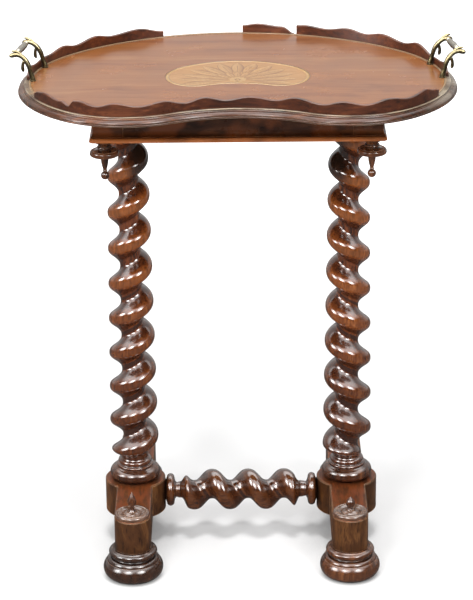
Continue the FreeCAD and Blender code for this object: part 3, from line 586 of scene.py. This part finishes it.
plain_wood = timber(
    "plain walnut", (66, 42, 27), (92, 60, 39), (116, 80, 54), streaks=120.0, pores=0.6,
    wear=0.1, dirt_and_shade=0.5, gloss=0.6, coat=0.0, bump=0.25)
bare_wood = timber(
    "bare mahogany", (110, 74, 50), (150, 112, 80), (182, 146, 110), streaks=260.0, pores=0.7,
    flecks=0.8, wear=0.0, gloss=0.75, coat=0.0, bump=0.5)
print("stand timbers ready")

# %% The stand dressed
SIDES = ("left", "right")


def at_corners(*parts):
    """The names of parts that the stand has on all four corners."""
    return ["%s_%s_%s" % (part, end, side) for part in parts for end in ("front", "back")
            for side in SIDES]


dress(frame_wood, "rail_front", "rail_back", *at_corners("corner_block"))
dress(side_frame_wood, "rail_left", "rail_right")
dress(turned_wood, "base_ring_left", "base_ring_right", *at_corners("pendant", "foot", "finial"))
dress(cap_wood_with_sheen, *at_corners("cap"))
dress(base_wood, "foot_slab_left", "foot_slab_right")
dress(plain_wood, "tray_cleat_front", "tray_cleat_back", "bearer_left", "bearer_right",
      "glue_strip_left", "glue_strip_right")
print("stand dressed, columns at", round(COLUMN_X, 4))

# %% [markdown]
# ## Brass and steel
# Cast brass that is handled but seldom cleaned is olive-brown in its hollows and pale gold
# where fingers rub it, which is mostly near the top. Metal gets its colour from its reflections,
# so the base colour is the colour of the metal itself, and the patina only dulls it.

# %% Metals
HANDLE_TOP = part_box("handle_left_rear_branch")[1].z
METAL_GRIME = paint(38, 32, 22)
METAL_SPOTS = 160.0          # in a metre
METAL_GLOSS = 0.32
METAL_RELIEF = 0.0004


def metal(name, body, tarnish, bright, rubbed_top=0.0):
    """Old metal: tarnished in spots, dirty in its hollows, brighter on edges and near its top."""
    material, tree = new_material(name)
    place = put(tree, "ShaderNodeTexCoord").outputs["Object"]
    spots = noise_on(tree, place, METAL_SPOTS, 5.0, 0.7)
    colour = blend_colour(tree, ranged(tree, spots, 0.35, 0.62), paint(*tarnish), paint(*body))
    top = ranged(tree, part_of(tree, place, "Z"), PANEL_TOP + 0.012, HANDLE_TOP - 0.004,
                 0.0, rubbed_top)
    aged = use_group(tree, patina, {
        "Color": blend_colour(tree, top, colour, paint(*bright)), "Worn": paint(*bright),
        "Dirt and shade": METAL_GRIME, "Wear": 0.9, "Recess darkening": 0.85, "Edge": 0.0012, "Reach": 0.006,
    })
    relief = put(tree, "ShaderNodeBump", {
        "Strength": 0.25, "Distance": METAL_RELIEF, "Height": spots}).outputs[0]
    bare = reckon(tree, "SUBTRACT", 1.0, product(tree, aged["Dirt and shade"], 0.6))
    shader = put(tree, "ShaderNodeBsdfPrincipled", {
        "Base Color": aged["Color"], "Normal": relief, "Metallic": bare,
        "Roughness": ranged(tree, spots, 0.3, 0.7, METAL_GLOSS * 1.4, METAL_GLOSS * 0.8),
    })
    put(tree, "ShaderNodeOutputMaterial", {"Surface": shader.outputs[0]})
    return material


brass = metal("aged brass", (92, 82, 58), (48, 42, 29), (178, 166, 130), rubbed_top=0.28)
grip_metal = metal("worn grip", (140, 134, 122), (92, 88, 80), (192, 186, 174), rubbed_top=0.3)
steel = metal("dark screws", (96, 92, 88), (60, 56, 52), (150, 148, 144))
dress(brass, "handle_screws", *("handle_%s_%s_branch" % (side, end)
                                for side in SIDES for end in ("rear", "front")))
dress(grip_metal, "handle_left_grip", "handle_right_grip")
dress(steel, "cleat_screws")
print("metals dressed")

# %% [markdown]
# ## Shapes that follow a rule
# A barley twist, a string of veneer along an edge and a fan of leaves are all rules before they
# are shapes, so each is a Geometry Nodes tree with its sizes as named inputs. The helper below
# runs a tree once on a starting mesh and keeps the result as a plain mesh, so nothing about the
# finished piece depends on a live modifier.


# %% Helpers for geometry trees
def new_shape_tree(name, inputs):
    """A geometry tree; returns it with its input sockets and its output sockets."""
    tree = bpy.data.node_groups.new(name, "GeometryNodeTree")
    tree.interface.new_socket("Geometry", in_out="INPUT", socket_type="NodeSocketGeometry")
    tree.interface.new_socket("Geometry", in_out="OUTPUT", socket_type="NodeSocketGeometry")
    for label, kind in inputs:
        tree.interface.new_socket(label, in_out="INPUT", socket_type="NodeSocket" + kind)
    return tree, tree.nodes.new("NodeGroupInput").outputs, tree.nodes.new("NodeGroupOutput").inputs


def finish_shape(tree, geometry, material, sink, smooth=True):
    """Every tree ends the same way: real geometry, its shading and its finish."""
    real = put(tree, "GeometryNodeRealizeInstances", {0: geometry}).outputs[0]
    if smooth:
        real = put(tree, "GeometryNodeSetShadeSmooth", {"Geometry": real}).outputs[0]
    done = put(tree, "GeometryNodeSetMaterial", {"Geometry": real, "Material": material})
    tree.links.new(done.outputs[0], sink[0])


def joined(tree, *geometries):
    """Several shapes as one."""
    node = tree.nodes.new("GeometryNodeJoinGeometry")
    for geometry in geometries:
        tree.links.new(geometry, node.inputs[0])
    return node.outputs[0]


def keep_number(tree, geometry, name, value):
    """Stores a number on every point of a shape for its material to read."""
    return put(tree, "GeometryNodeStoreNamedAttribute", {
        "Geometry": geometry, "Name": name, "Value": value,
    }, data_type="FLOAT", domain="POINT").outputs[0]


def point_at(tree, **parts):
    """A place from its X, Y and Z; those left out are 0."""
    return put(tree, "ShaderNodeCombineXYZ", parts).outputs[0]


def grid_places(tree):
    """X, Y and Z of a shape's points."""
    place = put(tree, "GeometryNodeInputPosition").outputs[0]
    return put(tree, "ShaderNodeSeparateXYZ", {0: place}).outputs


def shape(name, tree, values, body, start=None, place=None):
    """Runs a tree on a starting mesh and returns the finished piece, riding on its body."""
    piece = new_object(name, start or bpy.data.meshes.new(name + " start"))
    modifier = piece.modifiers.new(name, "NODES")
    modifier.node_group = tree
    sockets = {item.name: item.identifier for item in tree.interface.items_tree
               if item.in_out == "INPUT"}
    for label, value in values.items():
        modifier[sockets[label]] = value
    depsgraph = bpy.context.evaluated_depsgraph_get()
    mesh = bpy.data.meshes.new_from_object(
        piece.evaluated_get(depsgraph), preserve_all_data_layers=True, depsgraph=depsgraph)
    piece.modifiers.remove(modifier)
    piece.data = mesh
    mesh.name = name
    mesh.materials.clear()
    mesh.materials.append(values["Finish"])
    if place:
        mesh.transform(place)
    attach(piece, body)
    print(name, "has", len(mesh.polygons), "faces")
    return piece


print("shape helpers ready")

# %% [markdown]
# ## Barley twists
# A twist is turned as a plain cylinder and then carved with a saw and gouges along a pencil line
# wound round it, so its cross-section is the same fat pear all the way up and only turns. The
# tree rolls a flat grid into a tube: across the grid is the way round, and up the grid is the
# height. The radius is a mean, a throw towards the crest and a little extra on both shoulders,
# with a fine quirk where two lobes meet. Near each end the lobes fade to a round neck. A drift
# term lets the pitch wander as handwork does. The turned rings and tenons at the ends are kept
# from the joiner's model.

# %% The twist's tree
TWIST_INPUTS = (
    ("Bottom", "Float"), ("Top", "Float"), ("Pitch", "Float"), ("Hand", "Float"),
    ("Crest", "Float"), ("Crest height", "Float"), ("Drift", "Float"), ("Half height", "Float"),
    ("Mean radius", "Float"), ("Throw", "Float"), ("Shoulder", "Float"), ("Quirk", "Float"),
    ("Taper", "Float"), ("Bottom neck", "Float"), ("Top neck", "Float"),
    ("Bottom run-out", "Float"), ("Top run-out", "Float"), ("Around", "Int"), ("Up", "Int"),
    ("Finish", "Material"),
)
TURN = 2.0 * math.pi
QUIRK_AT, QUIRK_WIDTH = -0.80, 0.045   # cosines of the turn away from the crest
WELD = 1e-6                  # metres between points that are one


def make_twist_tree():
    """A twisted turning between two heights, closed at both ends, joined to its turned ends."""
    tree, given, sink = new_shape_tree("barley twist", TWIST_INPUTS)

    def add(*values):
        return reckon(tree, "ADD", *values)

    def take(*values):
        return reckon(tree, "SUBTRACT", *values)

    def times(*values):
        return product(tree, *values)

    def share(*values):
        return reckon(tree, "DIVIDE", *values)

    grid = put(tree, "GeometryNodeMeshGrid", {
        "Size X": 1.0, "Size Y": 1.0, "Vertices X": add(given["Around"], 1),
        "Vertices Y": add(given["Up"], 1),
    }).outputs["Mesh"]
    flat = grid_places(tree)
    angle = times(add(flat["X"], 0.5), TURN)
    height = add(given["Bottom"], times(add(flat["Y"], 0.5), take(given["Top"], given["Bottom"])))
    off_middle = take(height, given["Crest height"])
    far = share(off_middle, given["Half height"])
    wound = add(share(times(off_middle, TURN), given["Pitch"]),
                times(given["Drift"], times(far, far)))
    crest = add(given["Crest"], times(given["Hand"], wound))
    turn = take(angle, crest)

    def fade(distance, length):
        """From 0 to 1 along a run-out, as half a wave."""
        grown = put(tree, "ShaderNodeClamp", {"Value": share(distance, length)}).outputs[0]
        return take(0.5, times(0.5, reckon(tree, "COSINE", times(grown, math.pi))))

    low = fade(take(height, given["Bottom"]), given["Bottom run-out"])
    high = fade(take(given["Top"], height), given["Top run-out"])
    size = take(1.0, times(given["Taper"], far))
    mean = times(size, given["Mean radius"])
    to_neck = add(times(take(given["Bottom neck"], mean), take(1.0, low)),
                  times(take(given["Top neck"], mean), take(1.0, high)))
    lobe = times(size, times(low, high))
    cosine = reckon(tree, "COSINE", turn)
    lean = take(times(given["Throw"], cosine),
                times(given["Shoulder"], reckon(tree, "COSINE", times(turn, 3.0))))
    off_quirk = reckon(tree, "POWER", share(take(cosine, QUIRK_AT), QUIRK_WIDTH), 2.0)
    quirk = times(given["Quirk"], reckon(tree, "EXPONENT", times(-1.0, off_quirk)))
    radius = add(add(mean, to_neck), times(lobe, take(lean, quirk)))
    place = point_at(tree, X=times(radius, reckon(tree, "COSINE", angle)),
                     Y=times(radius, reckon(tree, "SINE", angle)), Z=height)
    numbered = keep_number(tree, grid, "groove", times(lobe, take(0.5, times(0.5, cosine))))
    tube = put(tree, "GeometryNodeSetPosition", {"Geometry": numbered, "Position": place})

    def end(radius_name, height_name):
        """A disc that closes the tube."""
        disc = put(tree, "GeometryNodeMeshCircle", {
            "Vertices": given["Around"], "Radius": given[radius_name],
        }, fill_type="NGON").outputs[0]
        return put(tree, "GeometryNodeTransform", {
            0: disc, "Translation": point_at(tree, Z=given[height_name])}).outputs[0]

    under = put(tree, "GeometryNodeFlipFaces", {0: end("Bottom neck", "Bottom")}).outputs[0]
    parts = joined(tree, end("Top neck", "Top"), under, tube.outputs[0])
    closed = put(tree, "GeometryNodeMergeByDistance", {0: parts, "Distance": WELD}).outputs[0]
    finish_shape(tree, joined(tree, closed, given["Geometry"]), given["Finish"], sink)
    return tree


twist_tree = make_twist_tree()
print("twist tree:", len(twist_tree.nodes), "nodes")

# %% Turned ends kept from the joiner's model
CARVED_MARGIN = 1e-5         # metres by which a carved point lies inside the twist's length


def turned_ends(node, axis, low, high):
    """The parts of a turning before low and after high along an axis, as a closed mesh."""
    kept = bmesh.new()
    kept.from_mesh(nodes[node].data)
    bmesh.ops.remove_doubles(kept, verts=kept.verts, dist=WELD)
    carved = [v for v in kept.verts if low + CARVED_MARGIN < v.co[axis] < high - CARVED_MARGIN]
    bmesh.ops.delete(kept, geom=carved, context="VERTS")
    bmesh.ops.holes_fill(kept, edges=[e for e in kept.edges if e.is_boundary])
    mesh = bpy.data.meshes.new(node + " ends")
    kept.to_mesh(mesh)
    kept.free()
    return mesh


X_AXIS, Z_AXIS = 0, 2
COLUMN_BOTTOM, COLUMN_TOP = 0.128, 0.640
print("ends of a column:",
      len(turned_ends("column_left", Z_AXIS, COLUMN_BOTTOM, COLUMN_TOP).polygons), "faces")

# %% The two columns
COLUMN_SIZES = {
    "Bottom": COLUMN_BOTTOM, "Top": COLUMN_TOP, "Crest height": 0.360, "Half height": 0.240,
    "Mean radius": 0.0240, "Throw": 0.0095, "Shoulder": 0.0006, "Quirk": 0.0006, "Taper": 0.10,
    "Bottom neck": 0.0200, "Top neck": 0.0190, "Bottom run-out": 0.017, "Top run-out": 0.015,
    "Around": 72, "Up": 340, "Finish": column_wood,
}
TWISTS = (                   # side, hand, pitch, crest and drift in degrees
    ("left", 1.0, 0.05384, 257.6, -22.6),
    ("right", -1.0, 0.05442, 212.7, 15.6),
)
for side, hand, pitch, crest, drift in TWISTS:
    node = "column_" + side
    shift = Matrix.Translation((math.copysign(COLUMN_X, -hand), 0.0, 0.0))
    ends = turned_ends(node, Z_AXIS, COLUMN_BOTTOM, COLUMN_TOP)
    ends.transform(shift.inverted())
    column = shape("twisted_" + node, twist_tree, dict(
        COLUMN_SIZES, Hand=hand, Pitch=pitch, Crest=math.radians(crest),
        Drift=math.radians(drift)), "stand", ends, shift)
    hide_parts(node)

# %% [markdown]
# ## Stretcher
# The stretcher is the same twist lying on its side, a little slimmer, between two discs. It grows
# upright from the same tree and is then laid down: up becomes rightwards.

# %% The stretcher
STRETCHER_Z = (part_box("stretcher")[0].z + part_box("stretcher")[1].z) / 2
STRETCHER_LEFT, STRETCHER_RIGHT = -0.091, 0.088
SLIMMER = 0.92
STRETCHER_SIZES = dict(COLUMN_SIZES, **{
    "Bottom": STRETCHER_LEFT, "Top": STRETCHER_RIGHT, "Hand": 1.0, "Pitch": 0.0536,
    "Crest": math.radians(64.4), "Crest height": 0.0103, "Drift": 0.0, "Taper": 0.0,
    "Bottom neck": 0.012, "Top neck": 0.012, "Bottom run-out": 0.012, "Top run-out": 0.010,
    "Up": 130, "Finish": stretcher_wood,
})
for size in ("Mean radius", "Throw", "Shoulder"):
    STRETCHER_SIZES[size] *= SLIMMER
lay_down = Matrix(((0, 0, 1, 0), (1, 0, 0, 0), (0, 1, 0, STRETCHER_Z), (0, 0, 0, 1)))
ends = turned_ends("stretcher", X_AXIS, STRETCHER_LEFT, STRETCHER_RIGHT)
ends.transform(lay_down.inverted())
stretcher = shape("twisted_stretcher", twist_tree, STRETCHER_SIZES, "stand",
                  ends, lay_down)
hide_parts("stretcher")

# %% [markdown]
# ## Edges of the tray and its inlay
# Both outlines are kidneys made of arcs that flow into each other, alike on both sides. The
# class below walks along such an edge, so that stringing, banding and the scar of a lost length
# of gallery can follow it at any distance inwards.


# %% Kidney outlines
class KidneyEdge:
    """A closed edge of tangent arcs, walked from the middle of the front to the right."""

    def __init__(self, notch_y, arcs):
        """Takes each arc's radius and sweep in degrees; one more arc closes the back."""
        x, y, heading, station = 0.0, notch_y, 0.0, 0.0
        self.arcs = []
        for radius, sweep in arcs:
            side = math.copysign(1.0, sweep)
            centre_x = x - side * radius * math.sin(heading)
            centre_y = y + side * radius * math.cos(heading)
            self.arcs.append((station, centre_x, centre_y, radius, heading, side))
            heading += math.radians(sweep)
            station += radius * math.radians(abs(sweep))
            x = centre_x + side * radius * math.sin(heading)
            y = centre_y - side * radius * math.cos(heading)
        radius = x / math.sin(heading)
        self.arcs.append((station, 0.0, y + radius * math.cos(heading), radius, heading, 1.0))
        self.half_length = station + radius * (math.pi - heading)

    def point(self, station, inset, z):
        along = abs(station)
        start, x, y, radius, heading, side = max(
            (arc for arc in self.arcs if arc[0] <= along), key=lambda arc: arc[0])
        heading += side * (along - start) / radius
        reach = side * radius - inset
        return Vector((math.copysign(1.0, station) * (x + reach * math.sin(heading)),
                       y - reach * math.cos(heading), z))

    def path(self, first, last, inset, z, step=0.002):
        """A mesh of edges along the outline; a whole turn comes out closed."""
        closed = last - first >= 2.0 * self.half_length - WELD
        count = math.ceil((last - first) / step)
        stations = [first + (last - first) * k / count for k in range(count + (not closed))]
        points = [self.point(station, inset, z) for station in stations]
        links = [(k, k + 1) for k in range(len(points) - 1)]
        if closed:
            links.append((len(points) - 1, 0))
        mesh = bpy.data.meshes.new("path")
        mesh.from_pydata(points, links, [])
        return mesh


tray_edge = KidneyEdge(-0.1741, ((0.196, -28.4), (0.121, 70.6), (0.194, 47.5), (0.210, 40.9)))
inlay_edge = KidneyEdge(-0.0572, ((0.0995, -25.6), (0.039, 89.5), (0.0641, 72.5)))
print("half lengths:", round(tray_edge.half_length, 4), round(inlay_edge.half_length, 4))

# %% [markdown]
# ## Stringing, banding and the gallery's scar
# A strip of veneer is a flat ribbon bent along an edge, so its tree sweeps a small rectangle
# along a path. One dark string and one pale band frame the satinwood. The same tree lays the
# strip of bare, torn wood where two lengths of gallery are lost at the back.


# %% The strip's tree
def make_strip_tree():
    """A ribbon along the starting mesh's edges, flat on the panel."""
    tree, given, sink = new_shape_tree("strip along an edge", (
        ("Width", "Float"), ("Thickness", "Float"), ("Finish", "Material")))
    path = put(tree, "GeometryNodeMeshToCurve", {0: given["Geometry"]}).outputs[0]
    level = put(tree, "GeometryNodeSetCurveNormal", {"Curve": path}, mode="Z_UP").outputs[0]
    section = put(tree, "GeometryNodeCurvePrimitiveQuadrilateral", {
        "Width": given["Width"], "Height": given["Thickness"]}).outputs[0]
    ribbon = put(tree, "GeometryNodeCurveToMesh", {
        "Curve": level, "Profile Curve": section, "Fill Caps": True}).outputs[0]
    finish_shape(tree, ribbon, given["Finish"], sink, smooth=False)
    return tree


strip_tree = make_strip_tree()
print("strip tree:", len(strip_tree.nodes), "nodes")

# %% Strips
INLAY_ROUND = inlay_edge.half_length
BACK = tray_edge.half_length
LOST_GALLERY = 0.1125        # metres of gallery gone, left of the middle of the back
STRIPS = (                   # name, edge, first and last station, inset, width, rise, finish, slot
    ("inlay_banding", inlay_edge, -INLAY_ROUND, INLAY_ROUND, 0.0034, 0.0052, 0.00003,
     banding_wood, "inlay_satinwood"),
    ("inlay_stringing", inlay_edge, -INLAY_ROUND, INLAY_ROUND, 0.0002, 0.0009, 0.00006,
     stringing_wood, "inlay_satinwood"),
    ("gallery_scar", tray_edge, -BACK, -(BACK - LOST_GALLERY), 0.0040, 0.0036, 0.00010,
     bare_wood, "gallery_wood"),
)
for name, edge, first, last, inset, width, rise, finish, slot in STRIPS:
    start = edge.path(first, last, inset, PANEL_TOP)
    shape(name, strip_tree, {"Width": width, "Thickness": 2.0 * rise, "Finish": finish},
          "tray", start)

# %% [markdown]
# ## Marquetry
# The inlay carries a palmette, a fan of long leaves that spring from one point near the hollow of
# the kidney. Every leaf is the same shape at another length, so one tree makes a single thin
# veneer leaf and sets copies of it round an arc. The tips touch an ellipse that follows the
# inlay's outline. Each leaf starts a little way out from the middle, and a round eye covers the
# hole, because many leaves on one point would lie on top of each other there. A second, shorter
# fan and a small boss cover the leaves' feet, each a hair above the last so that no two surfaces
# lie at the same height.

# %% The palmette's tree
LEAF_ACROSS, LEAF_ALONG = 13, 33       # vertices of one leaf
LEAF_ROOT = 0.26             # a leaf starts this share of its reach out
LEAF_BELLY = 1.35            # above 1, a leaf is widest past its middle
LEAF_FULLNESS = 0.75         # below 1, its sides are fuller than half a wave
LEAF_TIP = 0.015             # the least of that wave, so that a tip keeps some width
FAN_FALL = 1.6               # how fast the rise from leaf to leaf falls away from the middle
EYE_CORNERS = 24
EYE_SIZE = 0.28              # its radius in leaf widths
EYE_RISE = 1.2               # in the fan's steps up


def make_fan_tree():
    """Leaves round an arc with a round eye over their roots."""
    tree, given, sink = new_shape_tree("fan of leaves", (
        ("Leaves", "Int"), ("Spread", "Float"), ("Reach sideways", "Float"),
        ("Reach up", "Float"), ("Leaf width", "Float"), ("Centre", "Vector"),
        ("Step up", "Float"), ("Finish", "Material")))

    def times(*values):
        return product(tree, *values)

    def add(*values):
        return reckon(tree, "ADD", *values)

    def power(value, exponent):
        return reckon(tree, "POWER", value, exponent)

    def squared_share(value, whole):
        return power(reckon(tree, "DIVIDE", value, whole), 2.0)

    def above_centre(rise):
        return vectors(tree, "ADD", given["Centre"], point_at(tree, Z=rise))[0]

    grid = put(tree, "GeometryNodeMeshGrid", {
        "Size X": 2.0, "Size Y": 1.0, "Vertices X": LEAF_ACROSS, "Vertices Y": LEAF_ALONG,
    }).outputs["Mesh"]
    flat = grid_places(tree)
    along = add(flat["Y"], 0.5)
    numbered = keep_number(tree, keep_number(tree, grid, "across", flat["X"]), "along", along)
    fullness = reckon(tree, "SINE", times(power(along, LEAF_BELLY), math.pi))
    half_width = times(given["Leaf width"], 0.5,
                       power(reckon(tree, "MAXIMUM", fullness, LEAF_TIP), LEAF_FULLNESS))
    leaf = put(tree, "GeometryNodeSetPosition", {"Geometry": numbered, "Position": point_at(
        tree, X=times(flat["X"], half_width),
        Y=add(LEAF_ROOT, times(along, 1.0 - LEAF_ROOT)))}).outputs[0]

    index = put(tree, "GeometryNodeInputIndex").outputs[0]
    last = add(given["Leaves"], -1)
    centred = add(reckon(tree, "DIVIDE", index, last), -0.5)
    direction = times(centred, given["Spread"])
    reach = power(add(
        squared_share(reckon(tree, "SINE", direction), given["Reach sideways"]),
        squared_share(reckon(tree, "COSINE", direction), given["Reach up"])), -0.5)
    fall = add(1.0, times(reckon(tree, "ABSOLUTE", centred), -FAN_FALL))
    spots = put(tree, "GeometryNodeMeshLine", {"Count": given["Leaves"]}, mode="OFFSET")
    placed = put(tree, "GeometryNodeSetPosition", {
        "Geometry": spots.outputs[0],
        "Position": above_centre(times(given["Step up"], fall))}).outputs[0]
    fan = put(tree, "GeometryNodeInstanceOnPoints", {
        "Points": placed, "Instance": leaf,
        "Rotation": point_at(tree, Z=times(direction, -1.0)),
        "Scale": point_at(tree, X=1.0, Y=reach, Z=1.0)}).outputs[0]
    disc = put(tree, "GeometryNodeMeshCircle", {
        "Vertices": EYE_CORNERS, "Radius": times(given["Leaf width"], EYE_SIZE),
    }, fill_type="NGON").outputs[0]
    eye = put(tree, "GeometryNodeTransform", {
        0: disc, "Translation": above_centre(times(given["Step up"], EYE_RISE))}).outputs[0]
    finish_shape(tree, joined(tree, eye, fan), given["Finish"], sink)
    return tree


fan_tree = make_fan_tree()
print("fan tree:", len(fan_tree.nodes), "nodes")

# %% The fans
SPRING = (0.0, -0.038)
STEP_UP = 0.00002
FANS = (                     # name, leaves, spread, reach sideways and up, width, rise, finish
    ("palmette_leaves", 13, 212.0, 0.083, 0.084, 0.0180, 0.00002, leaf_wood),
    ("palmette_inner_leaves", 9, 190.0, 0.040, 0.036, 0.0110, 0.00005, leaf_wood),
    ("palmette_boss", 9, 320.0, 0.0125, 0.0125, 0.0080, 0.00008, banding_wood),
)
for name, leaves, spread, sideways, up, width, rise, finish in FANS:
    shape(name, fan_tree, {
        "Leaves": leaves, "Spread": math.radians(spread), "Reach sideways": sideways,
        "Reach up": up, "Leaf width": width, "Centre": (*SPRING, PANEL_TOP + rise),
        "Step up": STEP_UP, "Finish": finish}, "tray")

# %% [markdown]
# ## Floor
# The table stands on a white sweep. What the camera sees of it is plain white, except close
# under the table, where the floor keeps its soft shadow: Ambient Occlusion tells how near the
# table is, and the floor gives back less light there. Light Path tells the material which rays
# ask, so that this whiteness is only what the camera sees and doesn't light the table.

# %% Floor
FLOOR_HALF = 30.0
CONTACT_REACH = 0.10         # how far from the table its contact shadow fades
CONTACT_RAYS = 12
NEAR_LIFT = 0.36             # how much of the floor's white doesn't depend on the lamps
FAR_LIFT = (0.45, 2.0, 0.0, 0.70)        # more of it, between two distances from the middle
MIRRORED_LIFT = (2.0, 5.0, 0.0, 0.25)    # the same, but as polish and brass show it
SEEN_GREY = (0.30, 0.52)     # the floor's own colour in the contact shadow and beyond it
LIGHT_GREY = 0.80            # its colour as it throws light back at the table
MIRRORED_GREY = 0.12         # the polish hardly shows the floor, only what stands round it


def make_floor():
    """One wide face, grey to the lamps and white to the camera."""
    mesh = bpy.data.meshes.new("floor")
    corners = [(x * FLOOR_HALF, y * FLOOR_HALF, 0) for x, y in ((-1, -1), (1, -1), (1, 1), (-1, 1))]
    mesh.from_pydata(corners, [], [(0, 1, 2, 3)])
    floor = new_object("floor", mesh)
    material, tree = new_material("white floor")
    path = put(tree, "ShaderNodeLightPath").outputs
    open_sky = put(tree, "ShaderNodeAmbientOcclusion", {"Distance": CONTACT_REACH},
                   samples=CONTACT_RAYS).outputs["AO"]
    clear = ranged(tree, open_sky, 0.20, 0.74)
    place = put(tree, "ShaderNodeTexCoord").outputs["Object"]
    distance = vectors(tree, "LENGTH", place)["Value"]
    seen = product(tree, path["Is Camera Ray"], reckon(
        tree, "ADD", product(tree, clear, NEAR_LIFT), ranged(tree, distance, *FAR_LIFT)))
    mirrored = product(tree, reckon(
        tree, "MAXIMUM", path["Is Glossy Ray"], path["Is Transmission Ray"]),
        ranged(tree, distance, *MIRRORED_LIFT))
    grey = by_ray(tree, path["Is Glossy Ray"], LIGHT_GREY, MIRRORED_GREY)
    grey = by_ray(tree, path["Is Camera Ray"], grey, ranged(tree, clear, 0.0, 1.0, *SEEN_GREY))
    lit = put(tree, "ShaderNodeBsdfDiffuse", {"Color": grey}).outputs[0]
    glow = put(tree, "ShaderNodeEmission", {
        "Color": (1.0, 1.0, 1.0, 1.0), "Strength": reckon(tree, "ADD", seen, mirrored)}).outputs[0]
    both = put(tree, "ShaderNodeAddShader", {0: lit, 1: glow}).outputs[0]
    put(tree, "ShaderNodeOutputMaterial", {"Surface": both})
    mesh.materials.append(material)


make_floor()
print("floor laid")

# %% [markdown]
# ## Surroundings and lamps
# Polished wood shows what it reflects, so the surroundings that glossy rays meet are white behind
# the table, as in a studio with its sweep at the back, brighter still overhead, and almost dark
# in front. The lamps are three soft boxes, two high in front and one at the far left, and a wide
# one overhead. The three are drawn in the surroundings too, with a wide soft edge, because a
# lamp's own reflection ends in a hard line.

# %% Surroundings
LAMPS = (                    # name, place, aims at, width, height, watts
    ("far left", (-2.3, -1.0, 1.7), (0.0, 0.0, 0.45), 0.45, 0.9, 24.0),
    ("left front", (-0.9, -2.3, 2.2), (0.0, 0.0, 0.45), 0.5, 0.7, 34.0),
    ("right front", (1.4, -2.0, 2.1), (0.0, 0.0, 0.45), 0.5, 0.7, 30.0),
    ("overhead", (0.0, -0.3, 2.9), (0.0, 0.0, 0.3), 1.4, 1.0, 30.0),
)
SOFT_BOXES = LAMPS[:3]
BOX_EDGE = (17.0, 8.0)       # degrees from a box's middle, where its glow starts and is full
BOX_GLOW = 20.0
AMBIENT = 0.20               # for all rays but the camera's and those of reflections
BEHIND = (-0.10, 0.50, 0.04, 1.0)      # from and to, as parts of a direction, with the brightness
ABOVE = (0.50, 0.84, 0.0, 7.0)
BESIDE = (0.80, 0.97, 0.0, 0.60)


def make_world():
    """White to the camera, a studio to reflections and an even dim light to everything else."""
    world = bpy.data.worlds.new("studio")
    bpy.context.scene.world = world
    world.use_nodes = True
    tree = world.node_tree
    tree.nodes.clear()
    path = put(tree, "ShaderNodeLightPath").outputs
    direction = put(tree, "ShaderNodeTexCoord").outputs["Generated"]
    towards = put(tree, "ShaderNodeSeparateXYZ", {0: direction}).outputs
    above = ranged(tree, towards["Z"], *ABOVE)
    beside = ranged(tree, reckon(tree, "ABSOLUTE", towards["X"]), *BESIDE)
    studio = reckon(tree, "MAXIMUM", ranged(tree, towards["Y"], *BEHIND),
                    reckon(tree, "MAXIMUM", above, beside))
    edge = [math.cos(math.radians(angle)) for angle in BOX_EDGE]
    for _, place, aim, _, _, _ in SOFT_BOXES:
        facing = vectors(tree, "DOT_PRODUCT", direction,
                         (Vector(place) - Vector(aim)).normalized())["Value"]
        studio = reckon(tree, "ADD", studio, ranged(tree, facing, *edge, 0.0, BOX_GLOW))
    strength = by_ray(tree, path["Is Glossy Ray"], AMBIENT, studio)
    strength = by_ray(tree, path["Is Camera Ray"], strength, 1.0)
    back = put(tree, "ShaderNodeBackground", {"Strength": strength})
    put(tree, "ShaderNodeOutputWorld", {"Surface": back.outputs[0]})


make_world()
print("surroundings set")

# %% Lamps
for name, place, aim, width, height, watts in LAMPS:
    lamp_data = bpy.data.lights.new(name, "AREA")
    lamp_data.shape = "RECTANGLE"
    lamp_data.size = width
    lamp_data.size_y = height
    lamp_data.energy = watts
    lamp = new_object(name, lamp_data)
    lamp.location = place
    lamp.rotation_euler = (Vector(aim) - Vector(place)).to_track_quat("-Z", "Y").to_euler()
print("lamps:", len(LAMPS))

# %% [markdown]
# ## The stretcher's shadow
# The twisted stretcher throws a waved shadow on the floor, but under these lamps the tray and
# the frame overhead drown it in their own. Light linking answers that: one more lamp, soft and
# nearly overhead, lights the floor alone, and only the stretcher and the foot slabs stand in its
# way. It adds no light to the table.

# %% The shadow lamp
SHADOW_LAMP = 2.0            # watts on a square metre
SHADOW_SOFTNESS = 13.0       # degrees
SHADOW_LEAN = 5.0            # degrees off straight down, towards the back
SHADOW_LINKS = (
    ("receiver", ("floor",)),
    ("blocker", ("twisted_stretcher", "foot_slab_left", "foot_slab_right")),
)


def make_shadow_lamp():
    """A soft sun that only the floor receives and only the lowest timbers block."""
    lamp_data = bpy.data.lights.new("shadow lamp", "SUN")
    lamp_data.energy = SHADOW_LAMP
    lamp_data.angle = math.radians(SHADOW_SOFTNESS)
    lamp = new_object("shadow lamp", lamp_data)
    lamp.rotation_euler = (math.radians(SHADOW_LEAN), 0.0, 0.0)
    for label, names in SHADOW_LINKS:
        group = bpy.data.collections.new(label + " of the shadow")
        for name in names:
            group.objects.link(nodes.get(name) or bpy.data.objects[name])
        setattr(lamp.light_linking, label + "_collection", group)


make_shadow_lamp()
print("shadow lamp linked")
